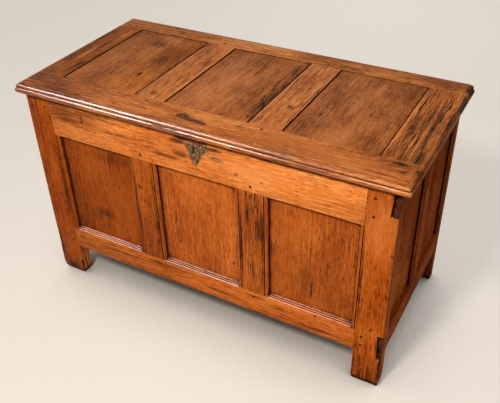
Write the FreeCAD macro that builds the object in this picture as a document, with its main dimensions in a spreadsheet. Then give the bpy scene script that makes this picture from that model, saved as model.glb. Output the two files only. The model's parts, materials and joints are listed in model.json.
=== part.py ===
import FreeCAD, Part
import math
import os
import re
from dataclasses import dataclass, field

import Sketcher

# Joined oak coffer with a framed, hinged lid. Millimetres, origin at the middle of the footprint on the
# floor, +X to the right along the front, +Y to the back, +Z up. The front is at -Y.

Vector = FreeCAD.Vector
Rotation = FreeCAD.Rotation

# Driving sizes: each one is a cell of the sheet, written once.
SIZES = {
    # Lid as a whole
    "lid_length": 1170, "lid_depth": 560, "lid_thick": 28, "overall_height": 690,
    "front_overhang": 17, "back_overhang": 12, "end_overhang": 25, "lid_seat_gap": 0.3,
    # Stiles, which run down to make the feet
    "left_stile_width": 84, "right_stile_width": 80, "front_stile_thick": 38, "rear_stile_thick": 32,
    "leg_height": 120,
    # Rails and muntins of the four sides
    "rail_thick": 28, "top_rail_height": 120, "end_top_rail_height": 76, "bottom_rail_height": 74,
    "left_muntin_width": 69, "right_muntin_width": 73, "end_muntin_width": 46, "end_muntin_shift": 8,
    # Scratch moulding on the inner edges, and the sloping sill under the panels
    "panel_recess": 14, "end_panel_recess": 10.5, "quirk_width": 3, "quirk_depth": 4, "ovolo_drop": 1.5,
    "ovolo_radius": 8, "end_ovolo_radius": 5, "sill_rise": 8,
    # Panels: a thin tongue in a groove, a thicker field feathered off at the back
    "groove_width": 7, "groove_depth": 9, "panel_play": 0.2, "panel_edge_room": 1, "panel_thick": 12,
    "feather_width": 25,
    # Mortises, tenons and the pegs through them
    "tenon_thick": 9, "tenon_haunch": 14, "tenon_relish": 10, "rail_tenon": 50, "end_rail_tenon": 26,
    "muntin_tenon": 35, "muntin_shoulder": 9, "mortise_spare": 1, "peg_bore": 4.5, "peg_play": 0.05,
    "rail_peg_setback": 20, "end_peg_setback": 13, "rail_peg_share": 0.28, "muntin_peg_inset": 17,
    "end_peg_length": 26,
    # Floor of loose boards in a groove
    "floor_rise": 26, "floor_thick": 14, "floor_groove_depth": 8, "floor_play": 0.5,
    # Lid frame and panels
    "lid_front_rail_width": 101, "lid_back_rail_width": 66, "lid_left_stile_width": 98,
    "lid_right_stile_width": 109, "lid_muntin_width": 93, "lid_groove_level": 9.5, "lid_groove_width": 8,
    "lid_panel_drop": 2.5, "lid_channel": 3.5, "lid_tenon": 45, "lid_tenon_shoulder": 12,
    "lid_peg_inset": 15, "lid_peg_step": 14,
    # Thumb moulding round the front and ends of the lid
    "nose_flat_end": 16, "nose_quirk": 1.5, "nose_quirk_width": 4, "nose_ovolo": 8, "nose_groove": 1.5,
    # Strap hinges
    "hinge_spread": 373, "hinge_width": 30, "leaf_thick": 2.4, "knuckle_radius": 5, "pin_bore": 2.5,
    "pin_play": 0.05, "knuckle_play": 0.3, "middle_knuckle": 12, "strap_length": 98, "strap_foot": 14,
    "tongue_length": 54, "rivet_radius": 3.8, "rivet_thick": 1.6,
    # Wrought nails, square in the shank
    "nail_bore": 2, "nail_play": 0.05, "nail_length": 20, "nail_head": 4.2, "nail_head_thick": 1.8,
    # Escutcheon and keyhole
    "key_x": 7.5, "key_drop": 48.2, "key_eye": 3.75, "key_slot_width": 4.8, "key_slot_rise": 23.5,
    "plate_thick": 1.5, "plate_half_width": 26, "plate_top_rise": 30, "plate_tip_drop": 37,
    "wing_reach": 43, "pin_head": 2.4, "escutcheon_pin_bore": 1.2, "escutcheon_pin_length": 12,
    # Box lock and its bolt
    "case_width": 100, "case_height": 60, "case_depth": 22, "case_wall": 2, "case_ear": 12,
    "case_drop": 69.7, "bolt_nose": -9, "bolt_length": 54, "bolt_height": 10, "bolt_thick": 5.4,
    "bolt_drop": 31.7, "bolt_play": 0.3, "guide_wall": 3.5, "guide_length": 4, "talon_width": 9,
    "talon_depth": 4, "bolt_notch_width": 3, "bolt_notch_depth": 1.5, "bolt_throw": 18,
    "spring_thick": 1.3, "spring_nib_x": 24.5, "spring_foot_height": 8, "key_pin_radius": 1.8,
    # Staple under the lid that the bolt passes through
    "staple_x": -15.5, "staple_thick": 5, "staple_gap": 7, "staple_leg": 3.5, "staple_drop": 40,
    "staple_plate_length": 74, "staple_plate_thick": 2, "staple_nail_spread": 28.5,
}

# Places worked out from the sizes, each a formula in their names.
PLACES = {
    "end_face": "lid_length / 2 - end_overhang",
    "front_face": "-lid_depth / 2 + front_overhang",
    "back_face": "lid_depth / 2 - back_overhang",
    "lid_bottom": "overall_height - lid_thick",
    "carcass_top": "lid_bottom - lid_seat_gap",
    "sill": "leg_height + bottom_rail_height",
    "floor_height": "leg_height + floor_rise",
    "left_inner": "-end_face + left_stile_width",
    "right_inner": "end_face - right_stile_width",
    "front_inner": "front_face + front_stile_thick",
    "back_inner": "back_face - rear_stile_thick",
    "opening": "(right_inner - left_inner - left_muntin_width - right_muntin_width) / 3",
    "left_muntin_start": "left_inner + opening",
    "left_muntin_end": "left_muntin_start + left_muntin_width",
    "right_muntin_start": "left_muntin_end + opening",
    "right_muntin_end": "right_muntin_start + right_muntin_width",
    "end_muntin_start": "(front_inner + back_inner - end_muntin_width) / 2 - end_muntin_shift",
    "end_muntin_end": "end_muntin_start + end_muntin_width",
    "tenon_front": "(rail_thick - tenon_thick) / 2",
    "tenon_back": "(rail_thick + tenon_thick) / 2",
    "lid_x": "lid_length / 2",
    "lid_y": "lid_depth / 2",
    "lid_front_inner": "-lid_y + lid_front_rail_width",
    "lid_back_inner": "lid_y - lid_back_rail_width",
    "lid_left_inner": "-lid_x + lid_left_stile_width",
    "lid_right_inner": "lid_x - lid_right_stile_width",
    "lid_opening": "(lid_right_inner - lid_left_inner - 2 * lid_muntin_width) / 3",
    "lid_left_muntin_start": "lid_left_inner + lid_opening",
    "lid_right_muntin_start": "lid_left_inner + 2 * lid_opening + lid_muntin_width",
    "lid_groove_top": "lid_groove_level + lid_groove_width",
    "lid_tenon_top": "lid_groove_level + tenon_thick",
    "nose_bead": "(lid_thick - nose_quirk - nose_ovolo - nose_groove) / 2",
    "pivot_y": "back_face + knuckle_radius + lid_seat_gap",
    "pivot_z": "lid_bottom - knuckle_radius - lid_seat_gap",
    "key_z": "carcass_top - key_drop",
    "case_bottom": "carcass_top - case_drop",
    "bolt_level": "carcass_top - bolt_drop",
    "case_front": "front_face + rail_thick",
    "case_back": "case_front + case_depth",
    "bolt_middle": "case_front + case_depth / 2",
    "bolt_tail": "bolt_nose + bolt_length",
}


def bound(text):
    """Formula text in which each place is written out and each size points at its cell."""
    def swap(match):
        word = match.group()
        if word in PLACES:
            return "(" + bound(PLACES[word]) + ")"
        return "Sizes." + word if word in SIZES else word
    return re.sub(r"[a-z][a-z0-9_]*", swap, text)


doc = FreeCAD.newDocument("paneled_coffer")
sheet = doc.addObject("Spreadsheet::Sheet", "Sizes")
for row, (alias, number) in enumerate(SIZES.items(), start=1):
    sheet.set("A%d" % row, alias.replace("_", " "))
    sheet.set("B%d" % row, str(number))
    sheet.setAlias("B%d" % row, alias)
doc.recompute()

parts = []


def value(text):
    """Number that a formula gives now."""
    return float(sheet.evalExpression(bound(text)))


def minus(text):
    """Formula with the opposite sign."""
    return "-(" + text + ")"


def signed(sign, text):
    """Formula on the positive or the negative side of an axis."""
    return text if sign > 0 else minus(text)


def place(item, x="0", y="0", z="0", turn=None):
    """Set an object's turn and bind its position."""
    item.Placement = FreeCAD.Placement(Vector(), turn or Rotation())
    for axis, text in (("x", x), ("y", y), ("z", z)):
        if text != "0":
            item.setExpression("Placement.Base." + axis, bound(text))
    return item


def keep(item, label):
    """Name a finished sub-part."""
    item.Label = label
    parts.append(item)
    return item


def new_body(label, x="0", y="0", z="0", turn=None):
    """Empty body at its place."""
    body = doc.addObject("PartDesign::Body", label + "_body")
    return keep(place(body, x, y, z, turn), label)


def new_sketch(body, plane, level="0"):
    """Sketch on one of the body's planes, moved along that axis to a level."""
    sketch = body.newObject("Sketcher::SketchObject", body.Label + "_sketch")
    support = [item for item in body.Origin.OriginFeatures if item.Role == plane + "_Plane"]
    sketch.AttachmentSupport = (support[0], [""])
    sketch.MapMode = "FlatFace"
    if level != "0":
        # The XZ plane looks towards -Y, so its offset runs the other way.
        text = minus(level) if plane == "XZ" else level
        sketch.setExpression("AttachmentOffset.Base.z", bound(text))
    return sketch


def pin_down(sketch, index, corner, axis, text):
    """Bind one coordinate of a point to a formula."""
    number = sketch.addConstraint(Sketcher.Constraint("Distance" + axis, -1, 1, index, corner, value(text)))
    sketch.setExpression("Constraints[%d]" % number, bound(text))


def arc_between(start, end, radius, turn):
    """Short arc from start to end with its centre on the left (turn 1) or the right (turn -1)."""
    chord = end - start
    height = math.sqrt(max(radius ** 2 - chord.Length ** 2 / 4, 0))
    left = Vector(-chord.y, chord.x, 0) * (1 / chord.Length)
    centre = (start + end) * 0.5 + left * (height * turn)
    first, last = (start, end) if turn > 0 else (end, start)
    angles = [math.atan2(point.y - centre.y, point.x - centre.x) for point in (first, last)]
    return Part.ArcOfCircle(Part.Circle(centre, Vector(0, 0, 1), radius), angles[0], angles[1])


def loop(sketch, points, turn=1):
    """Closed outline. A third entry in a point is the radius of the arc from it to the next point."""
    first = sketch.GeometryCount
    count = len(points)
    spots = [Vector(value(point[0]), value(point[1]), 0) for point in points]
    edges, ends = [], []
    for i, point in enumerate(points):
        start, end = spots[i], spots[(i + 1) % count]
        if len(point) > 2:
            edges.append(arc_between(start, end, value(point[2]), turn))
            ends.append((1, 2) if turn > 0 else (2, 1))
        else:
            edges.append(Part.LineSegment(start, end))
            ends.append((1, 2))
    sketch.addGeometry(edges, False)
    ties = []
    for i in range(count):
        j = (i + 1) % count
        ties.append(Sketcher.Constraint("Coincident", first + i, ends[i][1], first + j, ends[j][0]))
    # Points joined by a level or upright edge share one coordinate, which is bound once.
    for axis, kind in ((0, "Vertical"), (1, "Horizontal")):
        group = list(range(count))
        for i in range(count):
            j = (i + 1) % count
            if len(points[i]) == 2 and points[i][axis] == points[j][axis] and group[i] != group[j]:
                ties.append(Sketcher.Constraint(kind, first + i))
                group = [group[i] if member == group[j] else member for member in group]
        for i in sorted(set(group)):
            pin_down(sketch, first + i, ends[i][0], "XY"[axis], points[i][axis])
    sketch.addConstraint(ties)
    for i, point in enumerate(points):
        if len(point) > 2:
            number = sketch.addConstraint(Sketcher.Constraint("Radius", first + i, value(point[2])))
            sketch.setExpression("Constraints[%d]" % number, bound(point[2]))


def rect(sketch, u0, u1, v0, v1):
    """Rectangle between two pairs of formulas."""
    loop(sketch, [(u0, v0), (u1, v0), (u1, v1), (u0, v1)])


def ring(sketch, u, v, radius):
    """Circle about a point."""
    spot = Vector(value(u), value(v), 0)
    index = sketch.addGeometry(Part.Circle(spot, Vector(0, 0, 1), value(radius)), False)
    pin_down(sketch, index, 3, "X", u)
    pin_down(sketch, index, 3, "Y", v)
    number = sketch.addConstraint(Sketcher.Constraint("Radius", index, value(radius)))
    sketch.setExpression("Constraints[%d]" % number, bound(radius))


def feature(kind, body, sketch, length=None, reverse=False):
    """Pad or pocket of a given length, or a pocket through everything both ways."""
    item = body.newObject("PartDesign::" + kind, "%s_%s" % (body.Label, kind.lower()))
    item.Profile = sketch
    item.Reversed = reverse
    if length is None:
        item.Type = "ThroughAll"
        item.SideType = "Symmetric"
    else:
        item.setExpression("Length", bound(length))
    body.Tip = item
    return item


def pad(body, sketch, length, reverse=False):
    return feature("Pad", body, sketch, length, reverse)


def pocket(body, sketch, length=None, reverse=False):
    return feature("Pocket", body, sketch, length, reverse)


def box(name, x0, x1, y0, y1, z0, z1):
    """Block between three pairs of formulas."""
    block = doc.addObject("Part::Box", name)
    for side, low, high in (("Length", x0, x1), ("Width", y0, y1), ("Height", z0, z1)):
        block.setExpression(side, bound("(" + high + ") - (" + low + ")"))
    return place(block, x0, y0, z0)


def joined(kind, label, pieces, x="0", y="0", z="0", turn=None):
    """Pieces fused into one solid, or kept apart in one group, under one name."""
    item = doc.addObject("Part::" + kind, label + "_" + kind.lower())
    if kind == "Compound":
        item.Links = pieces
    else:
        item.Shapes = pieces
    return keep(place(item, x, y, z, turn), label)


# The four sides of the carcass

@dataclass
class Side:
    """One framed side, seen from outside: x to the right, y inwards from the outer face, z up."""
    name: str
    turn: float
    x: str
    y: str
    start: str
    end: str
    top_height: str
    tenon: str
    peg_setback: str
    peg_length: str
    recess: str
    ovolo: str
    muntins: list
    panels: list
    moulded: bool = True
    rails: dict = field(default_factory=dict)

    @property
    def rotation(self):
        return Rotation(Vector(0, 0, 1), self.turn)

    @property
    def top(self):
        return "carcass_top - " + self.top_height

    @property
    def sill_back(self):
        return "sill + sill_rise" if self.moulded else "sill"

    @property
    def groove(self):
        """Depths of the panel groove from the outer face."""
        return self.recess, self.recess + " + groove_width"

    @property
    def lip(self):
        """How far the moulded edge stands into the opening past the face."""
        return "(quirk_width + %s)" % self.ovolo if self.moulded else "0"

    def body(self, label):
        return new_body(label, self.x, self.y, turn=self.rotation)


SIDES = [
    Side("front", 0, "0", "front_face", "left_inner", "right_inner", "top_rail_height", "rail_tenon",
         "rail_peg_setback", "front_stile_thick", "panel_recess", "ovolo_radius",
         [("front_left_muntin", "left_muntin_start", "left_muntin_end"),
          ("front_right_muntin", "right_muntin_start", "right_muntin_end")],
         ["front_left_panel", "front_middle_panel", "front_right_panel"]),
    Side("rear", 180, "0", "back_face", "-right_inner", "-left_inner", "top_rail_height", "rail_tenon",
         "rail_peg_setback", "rear_stile_thick", "panel_recess", "ovolo_radius",
         [("rear_right_muntin", "-right_muntin_end", "-right_muntin_start"),
          ("rear_left_muntin", "-left_muntin_end", "-left_muntin_start")],
         ["rear_right_panel", "rear_middle_panel", "rear_left_panel"], moulded=False),
    Side("right", 90, "end_face", "0", "front_inner", "back_inner", "end_top_rail_height",
         "end_rail_tenon", "end_peg_setback", "end_peg_length", "end_panel_recess", "end_ovolo_radius",
         [("right_muntin", "end_muntin_start", "end_muntin_end")],
         ["right_front_panel", "right_rear_panel"]),
    Side("left", -90, "-end_face", "0", "-back_inner", "-front_inner", "end_top_rail_height",
         "end_rail_tenon", "end_peg_setback", "end_peg_length", "end_panel_recess", "end_ovolo_radius",
         [("left_muntin", "-end_muntin_end", "-end_muntin_start")],
         ["left_rear_panel", "left_front_panel"]),
]


def tenon_span(side, rail):
    """Bottom and top of the tenon on a top or a bottom rail."""
    if rail == "top":
        return side.top + " + tenon_haunch", "carcass_top - tenon_relish"
    return "leg_height + tenon_relish", "sill - tenon_haunch"


def rail_peg_levels(side):
    """Heights of the two pegs through each rail's tenons."""
    top, bottom = side.top_height, "bottom_rail_height"
    return ["carcass_top - rail_peg_share * " + top, side.top + " + rail_peg_share * " + top,
            "sill - rail_peg_share * " + bottom, "leg_height + rail_peg_share * " + bottom]


def muntin_middles(side):
    return ["(%s + %s) / 2" % (start, end) for _, start, end in side.muntins]


def top_rail(side):
    """Top rail: grooved underneath for the panels, mortised for the muntins."""
    body = side.body(side.name + "_top_rail")
    section = new_sketch(body, "YZ", side.start)
    front, back = side.groove
    roof = side.top + " + groove_depth"
    loop(section, [("0", side.top), (front, side.top), (front, roof), (back, roof), (back, side.top),
                   ("rail_thick", side.top), ("rail_thick", "carcass_top"), ("0", "carcass_top")])
    pad(body, section, "(%s) - (%s)" % (side.end, side.start))
    cut_rail_joints(side, body, "top", side.top, rail_peg_levels(side)[:2], "muntin_peg_inset")
    return body


def bottom_rail(side):
    """Bottom rail: sloping sill and groove on top, a groove inside for the floor."""
    body = side.body(side.name + "_bottom_rail")
    section = new_sketch(body, "YZ", side.start)
    front, back = side.groove
    inside = "rail_thick - floor_groove_depth"
    crest = side.sill_back
    loop(section, [("0", "leg_height"), ("rail_thick", "leg_height"), ("rail_thick", "floor_height"),
                   (inside, "floor_height"), (inside, "floor_height + floor_thick"),
                   ("rail_thick", "floor_height + floor_thick"), ("rail_thick", crest), (back, crest),
                   (back, crest + " - groove_depth"), (front, crest + " - groove_depth"),
                   (front, crest), ("0", "sill")])
    pad(body, section, "(%s) - (%s)" % (side.end, side.start))
    if side.moulded:
        seats = new_sketch(body, "XY", "sill + 2 * sill_rise")
        spans = [(side.start + " - 1", side.start + " + " + side.lip)]
        spans += [("%s - %s" % (start, side.lip), "%s + %s" % (end, side.lip))
                  for _, start, end in side.muntins]
        spans += [(side.end + " - " + side.lip, side.end + " + 1")]
        for start, end in spans:
            rect(seats, start, end, "-1", "rail_thick + 1")
        pocket(body, seats, "2 * sill_rise")
    cut_rail_joints(side, body, "bottom", "sill", rail_peg_levels(side)[2:], "-muntin_peg_inset")
    return body


def cut_rail_joints(side, body, rail, edge, peg_levels, muntin_peg):
    """Tenons on both ends of a rail, mortises for its muntins and the bores for all pegs."""
    low, high = tenon_span(side, rail)
    tenons = new_sketch(body, "YZ", "%s - %s" % (side.start, side.tenon))
    rect(tenons, "tenon_front", "tenon_back", low, high)
    pad(body, tenons, "(%s) - (%s) + 2 * %s" % (side.end, side.start, side.tenon))
    mortises = new_sketch(body, "XY", edge)
    for _, start, end in side.muntins:
        rect(mortises, start + " + muntin_shoulder", end + " - muntin_shoulder", "tenon_front",
             "tenon_back")
    pocket(body, mortises, "muntin_tenon + mortise_spare", reverse=rail == "top")
    bores = new_sketch(body, "XZ")
    for level in peg_levels:
        ring(bores, "%s - %s" % (side.start, side.peg_setback), level, "peg_bore")
        ring(bores, "%s + %s" % (side.end, side.peg_setback), level, "peg_bore")
    for middle in muntin_middles(side):
        ring(bores, middle, "%s + %s" % (edge, muntin_peg), "peg_bore")
    pocket(body, bores)


def grooved_edge(side, face, out):
    """Points of a grooved edge from the face to the back. out is 1 or -1, its way along x."""
    def past(distance):
        return "%s %s (%s)" % (face, "+" if out > 0 else "-", distance)
    front, back = side.groove
    lip, inside = past(side.lip), past(side.lip + " - groove_depth")
    arris = [(lip, "0")]
    if side.moulded:
        arris = [(face, "0"), (face, "quirk_depth"), (past("quirk_width"), "quirk_depth"),
                 (past("quirk_width"), "ovolo_drop", side.ovolo), (lip, "ovolo_drop + " + side.ovolo)]
    return arris + [(lip, front), (inside, front), (inside, back), (lip, back), (lip, "rail_thick")]


def backwards(points):
    """The same edge walked from the back to the face, with each arc still between its own points."""
    turned = [point[:2] for point in reversed(points)]
    for i, point in enumerate(points):
        if len(point) > 2:
            before = len(points) - 2 - i
            turned[before] = turned[before] + (point[2],)
    return turned


def muntin(side, label, start, end):
    """Upright between the rails, with a tenon at each end."""
    body = side.body(label)
    section = new_sketch(body, "XY", "sill")
    loop(section, grooved_edge(side, end, 1) + backwards(grooved_edge(side, start, -1)))
    pad(body, section, side.top + " - sill")
    tenon = new_sketch(body, "XY", "sill - muntin_tenon")
    rect(tenon, start + " + muntin_shoulder", end + " - muntin_shoulder", "tenon_front", "tenon_back")
    pad(body, tenon, side.top + " - sill + 2 * muntin_tenon")
    bores = new_sketch(body, "XZ")
    middle = "(%s + %s) / 2" % (start, end)
    ring(bores, middle, side.top + " + muntin_peg_inset", "peg_bore")
    ring(bores, middle, "sill - muntin_peg_inset", "peg_bore")
    pocket(body, bores)
    return body


def panel(side, label, start, end):
    """Panel between two uprights: tongue all round, field feathered off at the back."""
    low = "%s + %s" % (start, side.lip)
    high = "%s - %s" % (end, side.lip)
    reach = "(groove_depth - panel_edge_room)"
    bottom, top = side.sill_back, side.top
    plate = box(label + "_plate", low + " - " + reach, high + " + " + reach, "0",
                "groove_width - panel_play", bottom + " - " + reach, top + " + " + reach)
    back = doc.addObject("Part::Wedge", label + "_field")
    spans = {"Xmin": low, "Xmax": high, "Zmin": bottom, "Zmax": top,
             "X2min": low + " + feather_width", "X2max": high + " - feather_width",
             "Z2min": bottom + " + feather_width", "Z2max": top + " - feather_width",
             "Ymin": "groove_width - panel_play", "Ymax": "panel_thick"}
    for name, text in spans.items():
        back.setExpression(name, bound(text))
    inwards = {0: ("0", "1"), 180: ("0", "-1"), 90: ("-1", "0"), -90: ("1", "0")}[side.turn]
    x = "%s + %s * %s" % (side.x, inwards[0], side.recess)
    y = "%s + %s * %s" % (side.y, inwards[1], side.recess)
    joined("MultiFuse", label, [plate, back], x, y, turn=side.rotation)


def peg(name, x, y, z, length, turn=None):
    """Eight-sided riven peg, starting at its place and running inwards."""
    item = doc.addObject("Part::Prism", name)
    item.Polygon = 8
    item.setExpression("Circumradius", bound("peg_bore - peg_play"))
    item.setExpression("Height", bound(length))
    return place(item, x, y, z, turn)


INTO_SIDE = Rotation(Vector(1, 0, 0), -90)


def side_pegs(side):
    """All pegs of one side, driven from the face."""
    spots = []
    for level in rail_peg_levels(side):
        spots.append(("%s - %s" % (side.start, side.peg_setback), level, side.peg_length))
        spots.append(("%s + %s" % (side.end, side.peg_setback), level, side.peg_length))
    for middle in muntin_middles(side):
        spots.append((middle, side.top + " + muntin_peg_inset", "rail_thick"))
        spots.append((middle, "sill - muntin_peg_inset", "rail_thick"))
    label = side.name + "_pegs"
    pegs = [peg("%s_%d" % (label, i), x, "0", z, length, INTO_SIDE)
            for i, (x, z, length) in enumerate(spots, start=1)]
    joined("Compound", label, pegs, side.x, side.y, turn=side.rotation)


def frame_side(side):
    """Rails, muntins, panels and pegs of one side."""
    side.rails = {"top": top_rail(side), "bottom": bottom_rail(side)}
    edges = [side.start]
    for label, start, end in side.muntins:
        muntin(side, label, start, end)
        edges += [start, end]
    edges.append(side.end)
    for i, label in enumerate(side.panels):
        panel(side, label, edges[2 * i], edges[2 * i + 1])
    side_pegs(side)


def stile(label, width, left, front):
    """Corner post. left and front are 1 or -1, for the side of the coffer that it stands on."""
    body = new_body(label, signed(-left, "end_face"), "front_face" if front > 0 else "back_face")
    face_side = SIDES[0] if front > 0 else SIDES[1]
    end_side = SIDES[2] if left < 0 else SIDES[3]
    thick = "front_stile_thick" if front > 0 else "rear_stile_thick"

    def spots(points):
        """Points given as distances inwards from the end face and from the front or back face."""
        return [(signed(left, point[0]), signed(front, point[1])) + point[2:] for point in points]

    def moulding(side, start):
        """Outline of a moulded edge past a shoulder line, across it and then inwards."""
        past = [start, start + " + quirk_width", start + " + " + side.lip]
        return [(past[0], "quirk_depth"), (past[1], "quirk_depth"), (past[1], "ovolo_drop", side.ovolo),
                (past[2], "ovolo_drop + " + side.ovolo), (past[2], "rail_thick"),
                (past[0], "rail_thick")]

    post = new_sketch(body, "XY")
    loop(post, spots([("0", "0"), (width, "0"), (width, thick), ("0", thick)]))
    pad(body, post, "carcass_top")

    # Moulded edges stand into the openings between the rails.
    if face_side.moulded:
        edge = new_sketch(body, "XY", "sill")
        loop(edge, spots(moulding(face_side, width)), left * front)
        pad(body, edge, face_side.top + " - sill")
    edge = new_sketch(body, "XY", "sill")
    across = [(point[1], point[0]) + point[2:] for point in moulding(end_side, thick)]
    loop(edge, spots(across), -left * front)
    pad(body, edge, end_side.top + " - sill")

    # Grooves for the panels
    for side, start in ((face_side, width), (end_side, thick)):
        low = "sill" if side.moulded else "sill - groove_depth"
        high = side.top if side.moulded else side.top + " + groove_depth"
        inner = "%s + %s" % (start, side.lip)
        a, b = (inner + " - groove_depth", inner), side.groove
        if side is end_side:
            a, b = b, a
        groove = new_sketch(body, "XY", high)
        loop(groove, spots([(a[0], b[0]), (a[1], b[0]), (a[1], b[1]), (a[0], b[1])]))
        pocket(body, groove, "%s - (%s)" % (high, low))

    # Mortises for the rails
    face_mortises = new_sketch(body, "YZ", signed(left, width))
    end_mortises = new_sketch(body, "XZ", signed(front, thick))
    for rail in ("top", "bottom"):
        for sketch, side, sign in ((face_mortises, face_side, front), (end_mortises, end_side, left)):
            low, high = tenon_span(side, rail)
            rect(sketch, signed(sign, "tenon_front"), signed(sign, "tenon_back"), low, high)
    pocket(body, face_mortises, face_side.tenon + " + mortise_spare", reverse=left < 0)
    pocket(body, end_mortises, end_side.tenon + " + mortise_spare", reverse=front > 0)

    # Peg bores: right through from the front or back, blind from the end
    face_bores = new_sketch(body, "XZ")
    for level in rail_peg_levels(face_side):
        ring(face_bores, signed(left, width + " - " + face_side.peg_setback), level, "peg_bore")
    pocket(body, face_bores)
    end_bores = new_sketch(body, "YZ")
    for level in rail_peg_levels(end_side):
        ring(end_bores, signed(front, thick + " - " + end_side.peg_setback), level, "peg_bore")
    pocket(body, end_bores, "end_peg_length + mortise_spare", reverse=left > 0)


# Floor

def floor_boards(count):
    """Boards from front to back, tongued into the rails and notched round the posts."""
    edge = "(end_face - rail_thick + floor_groove_depth - floor_play)"
    front = "front_face + rail_thick - floor_groove_depth + floor_play"
    back = "back_face - rail_thick + floor_groove_depth - floor_play"
    front_notch = "front_inner + floor_play"
    back_notch = "back_inner - floor_play"
    for i in range(count):
        start = "-%s + %d * 2 * %s / %d" % (edge, i, edge, count)
        end = "-%s + %d * 2 * %s / %d - floor_play" % (edge, i + 1, edge, count)
        points = [(start, front), (end, front), (end, back), (start, back)]
        if i == 0:
            notch = "left_inner + floor_play"
            points = [(notch, front), (end, front), (end, back), (notch, back), (notch, back_notch),
                      (start, back_notch), (start, front_notch), (notch, front_notch)]
        if i == count - 1:
            notch = "right_inner - floor_play"
            points = [(start, front), (notch, front), (notch, front_notch), (end, front_notch),
                      (end, back_notch), (notch, back_notch), (notch, back), (start, back)]
        body = new_body("floor_board_%d" % (i + 1), z="floor_height")
        outline = new_sketch(body, "XY")
        loop(outline, points)
        pad(body, outline, "floor_thick")


# Lid, drawn upwards from its underside

def nose(sketch, edge, inwards):
    """Waste outside the thumb moulding: quirk, ovolo, groove and bead, with its edge at a given line."""
    def spot(distance, drop, *radius):
        return ("%s %s (%s)" % (edge, "+" if inwards > 0 else "-", distance),
                "lid_thick - (%s)" % drop) + radius
    shelf = "nose_quirk + nose_ovolo"
    loop(sketch, [spot("nose_flat_end", "-1"), spot("nose_flat_end", "nose_quirk"),
                  spot("nose_flat_end - nose_quirk_width", "nose_quirk", "nose_ovolo"),
                  spot("nose_flat_end - nose_quirk_width - nose_ovolo", shelf),
                  spot("nose_bead", shelf), spot("nose_bead", shelf + " + nose_groove", "nose_bead"),
                  spot("0", "lid_thick - nose_bead", "nose_bead"), spot("nose_bead", "lid_thick"),
                  spot("nose_bead", "lid_thick + 1"), spot("-1", "lid_thick + 1"), spot("-1", "-1")],
         turn=inwards)


LID_UPRIGHTS = [
    ("lid_left_stile", "-lid_x", "lid_left_inner", 2),
    ("lid_left_muntin", "lid_left_muntin_start", "lid_left_muntin_start + lid_muntin_width", 1),
    ("lid_right_muntin", "lid_right_muntin_start", "lid_right_muntin_start + lid_muntin_width", 1),
    ("lid_right_stile", "lid_right_inner", "lid_x", 2),
]


def lid_peg_spots(start, end, count):
    """Places of the pegs through an upright's two tenons: one each, or two side by side."""
    middle = "(%s + %s) / 2" % (start, end)
    front, back = "lid_front_inner - lid_peg_inset", "lid_back_inner + lid_peg_inset"
    if count == 1:
        return [(middle, front), (middle, back)]
    return [(middle + sign + "lid_peg_step", y) for y in (front, back) for sign in (" - ", " + ")]


def lid_rail(label, start, end, inner, towards):
    """Long rail of the lid. towards is the way from its inner edge into the rail, 1 or -1 along y."""
    body = new_body(label, z="lid_bottom")
    outline = new_sketch(body, "XY")
    rect(outline, "-lid_x", "lid_x", start, end)
    pad(body, outline, "lid_thick")
    groove = new_sketch(body, "XZ", inner)
    rect(groove, "lid_left_inner - groove_depth", "lid_right_inner + groove_depth", "lid_groove_level",
         "lid_groove_top")
    pocket(body, groove, "groove_depth", reverse=towards < 0)
    mortises = new_sketch(body, "XZ", inner)
    for _, left, right, _ in LID_UPRIGHTS:
        rect(mortises, left + " + lid_tenon_shoulder", right + " - lid_tenon_shoulder",
             "lid_groove_level", "lid_tenon_top")
    pocket(body, mortises, "lid_tenon + mortise_spare", reverse=towards < 0)
    bores = new_sketch(body, "XY")
    for _, left, right, count in LID_UPRIGHTS:
        for x, y in lid_peg_spots(left, right, count):
            if (value(y) < 0) == (towards < 0):
                ring(bores, x, y, "peg_bore")
    pocket(body, bores)
    ends = new_sketch(body, "XZ")
    nose(ends, "-lid_x", 1)
    nose(ends, "lid_x", -1)
    pocket(body, ends)
    return body


def lid_upright(label, start, end, count):
    """Stile or muntin of the lid, grooved for the panels and tenoned into the rails."""
    body = new_body(label, z="lid_bottom")
    section = new_sketch(body, "XZ", "lid_back_inner")
    left, right = [(start, "0"), (start, "lid_thick")], [(end, "lid_thick"), (end, "0")]
    if start != "-lid_x":
        inside = start + " + groove_depth"
        left[1:1] = [(start, "lid_groove_level"), (inside, "lid_groove_level"),
                     (inside, "lid_groove_top"), (start, "lid_groove_top")]
    if end != "lid_x":
        inside = end + " - groove_depth"
        right[1:1] = [(end, "lid_groove_top"), (inside, "lid_groove_top"),
                      (inside, "lid_groove_level"), (end, "lid_groove_level")]
    loop(section, left + right)
    pad(body, section, "lid_back_inner - lid_front_inner")
    tenon = new_sketch(body, "XY", "lid_groove_level")
    rect(tenon, start + " + lid_tenon_shoulder", end + " - lid_tenon_shoulder",
         "lid_front_inner - lid_tenon", "lid_back_inner + lid_tenon")
    pad(body, tenon, "tenon_thick")
    bores = new_sketch(body, "XY")
    for x, y in lid_peg_spots(start, end, count):
        ring(bores, x, y, "peg_bore")
    pocket(body, bores)
    if start == "-lid_x" or end == "lid_x":
        edge = new_sketch(body, "XZ")
        nose(edge, start if start == "-lid_x" else end, 1 if start == "-lid_x" else -1)
        pocket(body, edge)
    return body


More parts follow.
